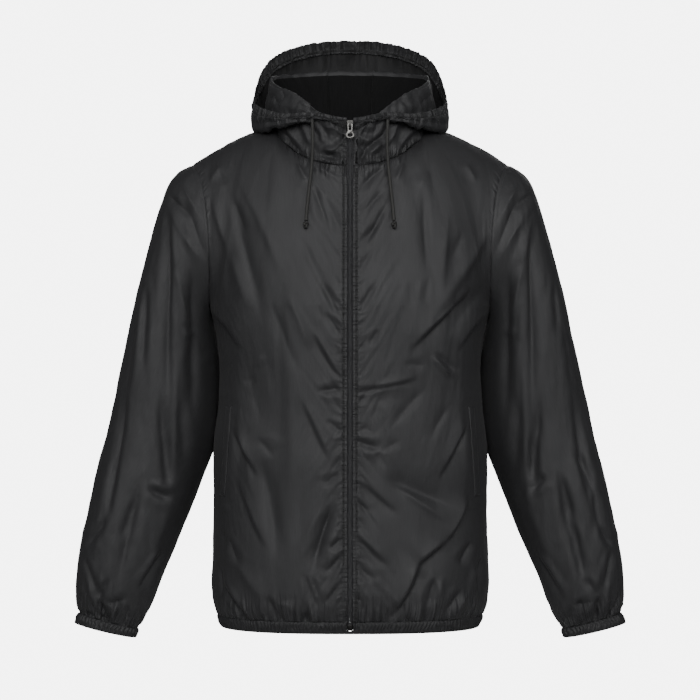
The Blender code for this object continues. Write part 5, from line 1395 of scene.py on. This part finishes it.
def casing_points():
    """Outer face of the casing, from the left end at the zip round to the right, and from its seam to the rim."""
    side, strip = hood_side_form()[0][:, -1], hood_strip_points()[:, -1]
    seam = np.concatenate([side, strip[-2:0:-1], mirrored(side[::-1], -1)])
    angle = np.linspace(0, math.pi, 65)
    rim = hood(angle, np.full_like(angle, CASING_RING + 1), ZIP_EDGE_X * fade(math.pi - angle, 0.5))
    rim = np.concatenate([rim, mirrored(rim[-2::-1], -1)])
    share = np.linspace(0, 1, CASING_COLUMNS)
    seam, rim = polyline(seam, share), polyline(rim, share)
    rise = unit(rim - seam)
    outward = unit(np.cross(np.gradient(seam, axis=0), rise))
    seam = seam + rise * 1.5 * SEAM_GAP
    along, up = np.meshgrid(lengths_along(rim), np.linspace(0, 1, CASING_ROWS + 1), indexing="ij")
    width, from_end = CASING_WIDTH * up, np.minimum(share, 1 - share)[:, None]
    ends = fade(from_end, 0.03) * (0.30 + 0.70 * fade(from_end - 0.12, 0.12))
    round_over = np.sin(math.pi * (0.12 + 0.88 * up)) ** 0.7
    crinkle = facets(along, width, 1.0, CASING_RIB, 0.040, 23)
    crinkle += facets(along + 0.01 * up, width, 0.5, 0.6 * CASING_RIB, 0.012, 25)
    lift = 0.0012 * round_over + CASING_RIB_DEPTH * crinkle * (0.3 + 0.7 * round_over) * ends
    lift += CASING_BACK_BULGE * up * fade(0.30 - np.abs(share - 0.5), 0.15)[:, None]
    scallop = facets(along, 0 * up, CASING_SCALLOP, 1.1 * CASING_RIB, 1.0, 29) * up * ends
    points = seam[:, None] + (rim - seam)[:, None] * up[..., None]
    return points + outward[:, None] * lift[..., None] + rise[:, None] * scallop[..., None]


cloth_piece(
    "hood_casing_gathers", "hood_casing", turned_under(casing_points(), 1, 0, **GATHERED_EDGE),
    black_taffeta, gathers=(0.2, 0, 0, 0),
)

# Pocket welts ----------------------------------------------------------------------------------------------
# A strip of taffeta folded double on each front, which closes the mouth of the slanting side pocket: rolled
# along its free edge, topstitched, and tacked across at both ends, from where short creases run out.
WELT_LIFT = 0.0016
WELT_GRID = (18, 110)
WELT_STITCH = 0.0016  # from its edges
TACK_STEP = 0.0008  # one row of the tack to the next


def on_front(points, side, x, z):
    """Places on a front's face that are seen at those heights and distances from the middle."""
    rows = np.array([np.interp(z[0], column_z, np.arange(points.shape[1])) for column_z in points[..., 2]])
    made = np.empty((*x.shape, 3))
    for j in range(x.shape[1]):
        row = rows[:, j]
        low = np.minimum(row.astype(int), points.shape[1] - 2)
        t = (row - low)[:, None]
        line = points[np.arange(len(points)), low] * (1 - t) + points[np.arange(len(points)), low + 1] * t
        made[:, j] = np.stack([np.interp(x[:, j], line[:, 0] * side, line[:, k]) for k in range(3)], axis=1)
    return made


def welt_points(side):
    """Outer face of a welt, laid on its front from the pocket's foot to its top."""
    share, up = np.meshgrid(np.linspace(-1, 1, WELT_GRID[0]), np.linspace(0, 1, WELT_GRID[1]), indexing="ij")
    z = POCKET_BOTTOM[1] + (POCKET_TOP[1] - POCKET_BOTTOM[1]) * up
    middle = POCKET_BOTTOM[0] + (POCKET_TOP[0] - POCKET_BOTTOM[0]) * up
    half = POCKET_WELT_WIDTH / 2 * (0.62 + 0.10 * ripple(up * 5, share * 0.4, 61 + side))
    points = on_front(front_faces[side], side, middle + half * share, z)
    ends = fade(np.minimum(up, 1 - up), 0.05)
    rolled = np.sqrt(np.clip(1 - np.abs(share) ** 5, 0, 1)) * (0.65 - 0.35 * share)
    lift = 0.0003 + WELT_LIFT * rolled * ends + 0.0006 * ripple(share * 1.5, up * 9, 63 + side) * ends
    return points + normals(points) * side * lift[..., None]


for side, name in SIDES:
    face = welt_points(side)
    cloth_piece(
        f"pocket_welt_{name}_fold", f"pocket_welt_{name}", face, black_taffeta,
        outside=side, wall=0.0010,
    )
    lines = [line_beside(face, WELT_STITCH, 0, from_end, side) for from_end in (False, True)]
    rows = [WELT_STITCH + TACK_STEP * k for k in range(3)]
    lines += [line_beside(face, row, 1, from_end, side) for row in rows for from_end in (False, True)]
    stitches(f"pocket_welt_{name}_stitches", lines, black_thread, pitch=0.0024, length=0.0019)

# Zip -------------------------------------------------------------------------------------------------------
# An open-ended zip with a nylon coil on the outside of two woven tapes, closed up to its slider. The pull tab
# turns under the slider's bail. Slider, pull and the box at the foot are cast metal, plated a satin gunmetal; the
# slider and box have the same plating painted darker, as painted shade.
ZIP_ENDS = (-0.6800, 0.0120)
ZIP_BOX_TOP = -0.6717
SLIDER_FOOT = -0.0003
TAPE_BEHIND = 0.0024  # outer face of the tape, behind the outer face of the fronts
TAPE_COLUMNS = (0.0001, 0.0018, 0.0030, 0.0042, 0.0056, 0.0080, 0.0112)
COIL_PITCH = 0.0015
COIL_WIRE = 0.00036  # half its thickness
COIL_HALF_WIDTH = 0.0029
COIL_DEPTH = 0.0013
COIL_HEAD = 0.0006  # how far each head reaches past the middle
COIL_LEAN = 0.00012
TAPE_RIB = 0.00025
METAL_ROUNDING = 0.0003


def centre_line():
    """The line of the cloth's outer face beside the zip, as y and z, from the hem's foot up to the hood's edge."""
    body, stand = front_form(1)[0], hood_side_form()[0][0][1:]
    foot = body[:1] * (1, HEM_NARROWING, 0) + (0, 0, HEM_Z)
    rim = hood(np.zeros(1), np.full(1, CASING_RING + 1.0))
    return np.concatenate([foot, body, stand, rim])[:, 1:]


def zip_places(low, high, behind, pitch):
    """Even places down the middle between two heights, that far behind the cloth, and their inward normals."""
    line = centre_line()
    along = lengths_along(line)
    ends = np.interp((low, high), line[:, 1], along)
    at = np.arange(ends[0], ends[1], pitch)
    y, z = (np.interp(at, along, line[:, k]) for k in (0, 1))
    run = unit(np.stack([np.gradient(y), np.gradient(z)], axis=1))
    inward = np.stack([run[:, 1], -run[:, 0]], axis=1)
    return np.stack([y, z], axis=1) + inward * behind, inward


def tape_painted_lighter():
    """Matt black zip tape: a twill with a raised rib along each edge, its black painted lighter: painted light for
    the recess behind the fronts, where it lies in shade.
    """
    made, tree, shader = new_material("tape_painted_lighter", {"Roughness": 0.8})
    weave = add_pattern(tree, plain_weave, "cloth", {"Threads per metre": 9000.0})
    bump = add_node(tree, "Bump", {"Strength": 0.6, "Distance": 0.00012})
    shade = add_shades(tree, (0.020, 0.020, 0.0215), (0.042, 0.042, 0.045))
    join(
        tree, (weave, "Height", bump, "Height"), (bump, "Normal", shader, "Normal"),
        (weave, "Slub", shade, "Fac"), (shade, "Color", shader, "Base Color"),
    )
    return made


def lightened_coil_material():
    """Black nylon monofilament with a satin gloss, its black painted lighter: painted light for the recess between
    the fronts, where it lies in shade.
    """
    made, tree, shader = new_material("nylon_coil_painted_lighter", {"Base Color": (0.044, 0.044, 0.047, 1)})
    place, mottle = add_node(tree, "TexCoord"), add_node(tree, "TexNoise", {"Scale": 700})
    gloss = add_node(tree, "MapRange", {"To Min": 0.30, "To Max": 0.50})
    join(
        tree, (place, "Object", mottle, "Vector"), (mottle, "Fac", gloss, "Value"),
        (gloss, "Result", shader, "Roughness"),
    )
    return made


def gunmetal(name, shades):
    """Cast zinc with a satin gunmetal plating, rubbed brighter in places, with fine pits."""
    made, tree, shader = new_material(name, {"Metallic": 1.0})
    place, bump = add_node(tree, "TexCoord"), add_node(tree, "Bump", {"Strength": 0.25, "Distance": 0.00005})
    rub, pits = add_node(tree, "TexNoise", {"Scale": 420, "Detail": 4}), add_node(tree, "TexNoise", {"Scale": 2600})
    shade = add_shades(tree, *((grey, 0.98 * grey, 0.945 * grey) for grey in shades))
    gloss = add_node(tree, "MapRange", {"To Min": 0.24, "To Max": 0.42})
    join(
        tree, (place, "Object", rub, "Vector"), (place, "Object", pits, "Vector"), (rub, "Fac", shade, "Fac"),
        (rub, "Fac", gloss, "Value"), (pits, "Fac", bump, "Height"), (shade, "Color", shader, "Base Color"),
        (gloss, "Result", shader, "Roughness"), (bump, "Normal", shader, "Normal"),
    )
    return made


def tape_points(side):
    """Outer face of one tape, with its two ribs, curving away behind the front."""
    places, inward = zip_places(*ZIP_ENDS, TAPE_BEHIND, 0.0022)
    columns = []
    for x in TAPE_COLUMNS:
        rib = TAPE_RIB if x in TAPE_COLUMNS[1:3] else 0.0
        yz = places - inward * rib + np.array([x * x / 0.22, 0])
        columns.append(np.column_stack([np.full(len(yz), x * side), yz]))
    return np.stack(columns)


def coil_mesh():
    """Both rows of the coil as one mesh. Each turn is a loop whose head reaches in between two others."""
    places, inward = zip_places(ZIP_BOX_TOP, SLIDER_FOOT, TAPE_BEHIND - 0.0002 - COIL_DEPTH / 2, COIL_PITCH / 2)
    bends = np.radians((180, 120, 60, 0, -60, -120))
    middle_x, reach_x = (COIL_HALF_WIDTH - COIL_HEAD) / 2, (COIL_HALF_WIDTH + COIL_HEAD) / 2
    corners, faces = [], []
    for n, (place, into) in enumerate(zip(places, inward)):
        side = 1 if n % 2 else -1
        run = np.array([-into[1], into[0]])
        first = 4 * len(bends) * n
        for k, bend in enumerate(bends):
            across, deep = math.cos(bend), math.sin(bend)
            for out, up in ((COIL_WIRE, 0), (0, COIL_WIRE), (-COIL_WIRE, 0), (0, -COIL_WIRE)):
                yz = place - into * (COIL_DEPTH / 2 + out) * deep + run * (up + COIL_LEAN * k - 0.0005)
                corners.append((side * (middle_x + (reach_x + out) * across), *yz))
        for k in range(len(bends) - 1):
            for m in range(4):
                a, b = first + 4 * k + m, first + 4 * k + (m + 1) % 4
                faces.append((a, b, b + 4, a + 4)[::side])
    return mesh_object("zip_coil", corners, faces)


def refined(node, name, finish):
    """A copy of a solid of the frame with its edges rounded."""
    made = placed(name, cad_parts[node].data.copy())
    shape = bmesh.new()
    shape.from_mesh(made.data)
    bmesh.ops.remove_doubles(shape, verts=shape.verts[:], dist=1e-6)
    bmesh.ops.dissolve_limit(shape, angle_limit=math.radians(4), verts=shape.verts[:], edges=shape.edges[:])
    shape.to_mesh(made.data)
    shape.free()
    apply_modifier(made, "BEVEL", width=METAL_ROUNDING, segments=3, angle_limit=math.radians(35))
    made.data.materials.clear()
    made.data.materials.append(finish)
    made.data.shade_smooth()
    made.data.set_sharp_from_angle(angle=math.radians(50))
    return made


lightened_tape_cloth = tape_painted_lighter()
for side, name in SIDES:
    cloth_piece(
        f"zip_tape_{name}_weave", f"zip_tape_{name}", tape_points(side), lightened_tape_cloth,
        outside=side, wall=0.0008,
    )
coil = coil_mesh()
coil.data.materials.append(lightened_coil_material())
stands_for(coil, "zip_chain")
satin_gunmetal = gunmetal("satin_gunmetal", (0.048, 0.155))
# Painted shade: the same plating painted darker for the slider and the box, which lie in shade.
shaded_gunmetal = gunmetal("shaded_gunmetal", (0.020, 0.060))
for node, name, body, finish in (
    ("zip_box", "zip_foot_box", "jacket", shaded_gunmetal),
    ("zip_slider", "zip_slider_body", "jacket", shaded_gunmetal),
    ("zip_pull", "zip_pull_tab", "pull_tab", satin_gunmetal),
):
    stands_for(refined(node, name, finish), node, body)
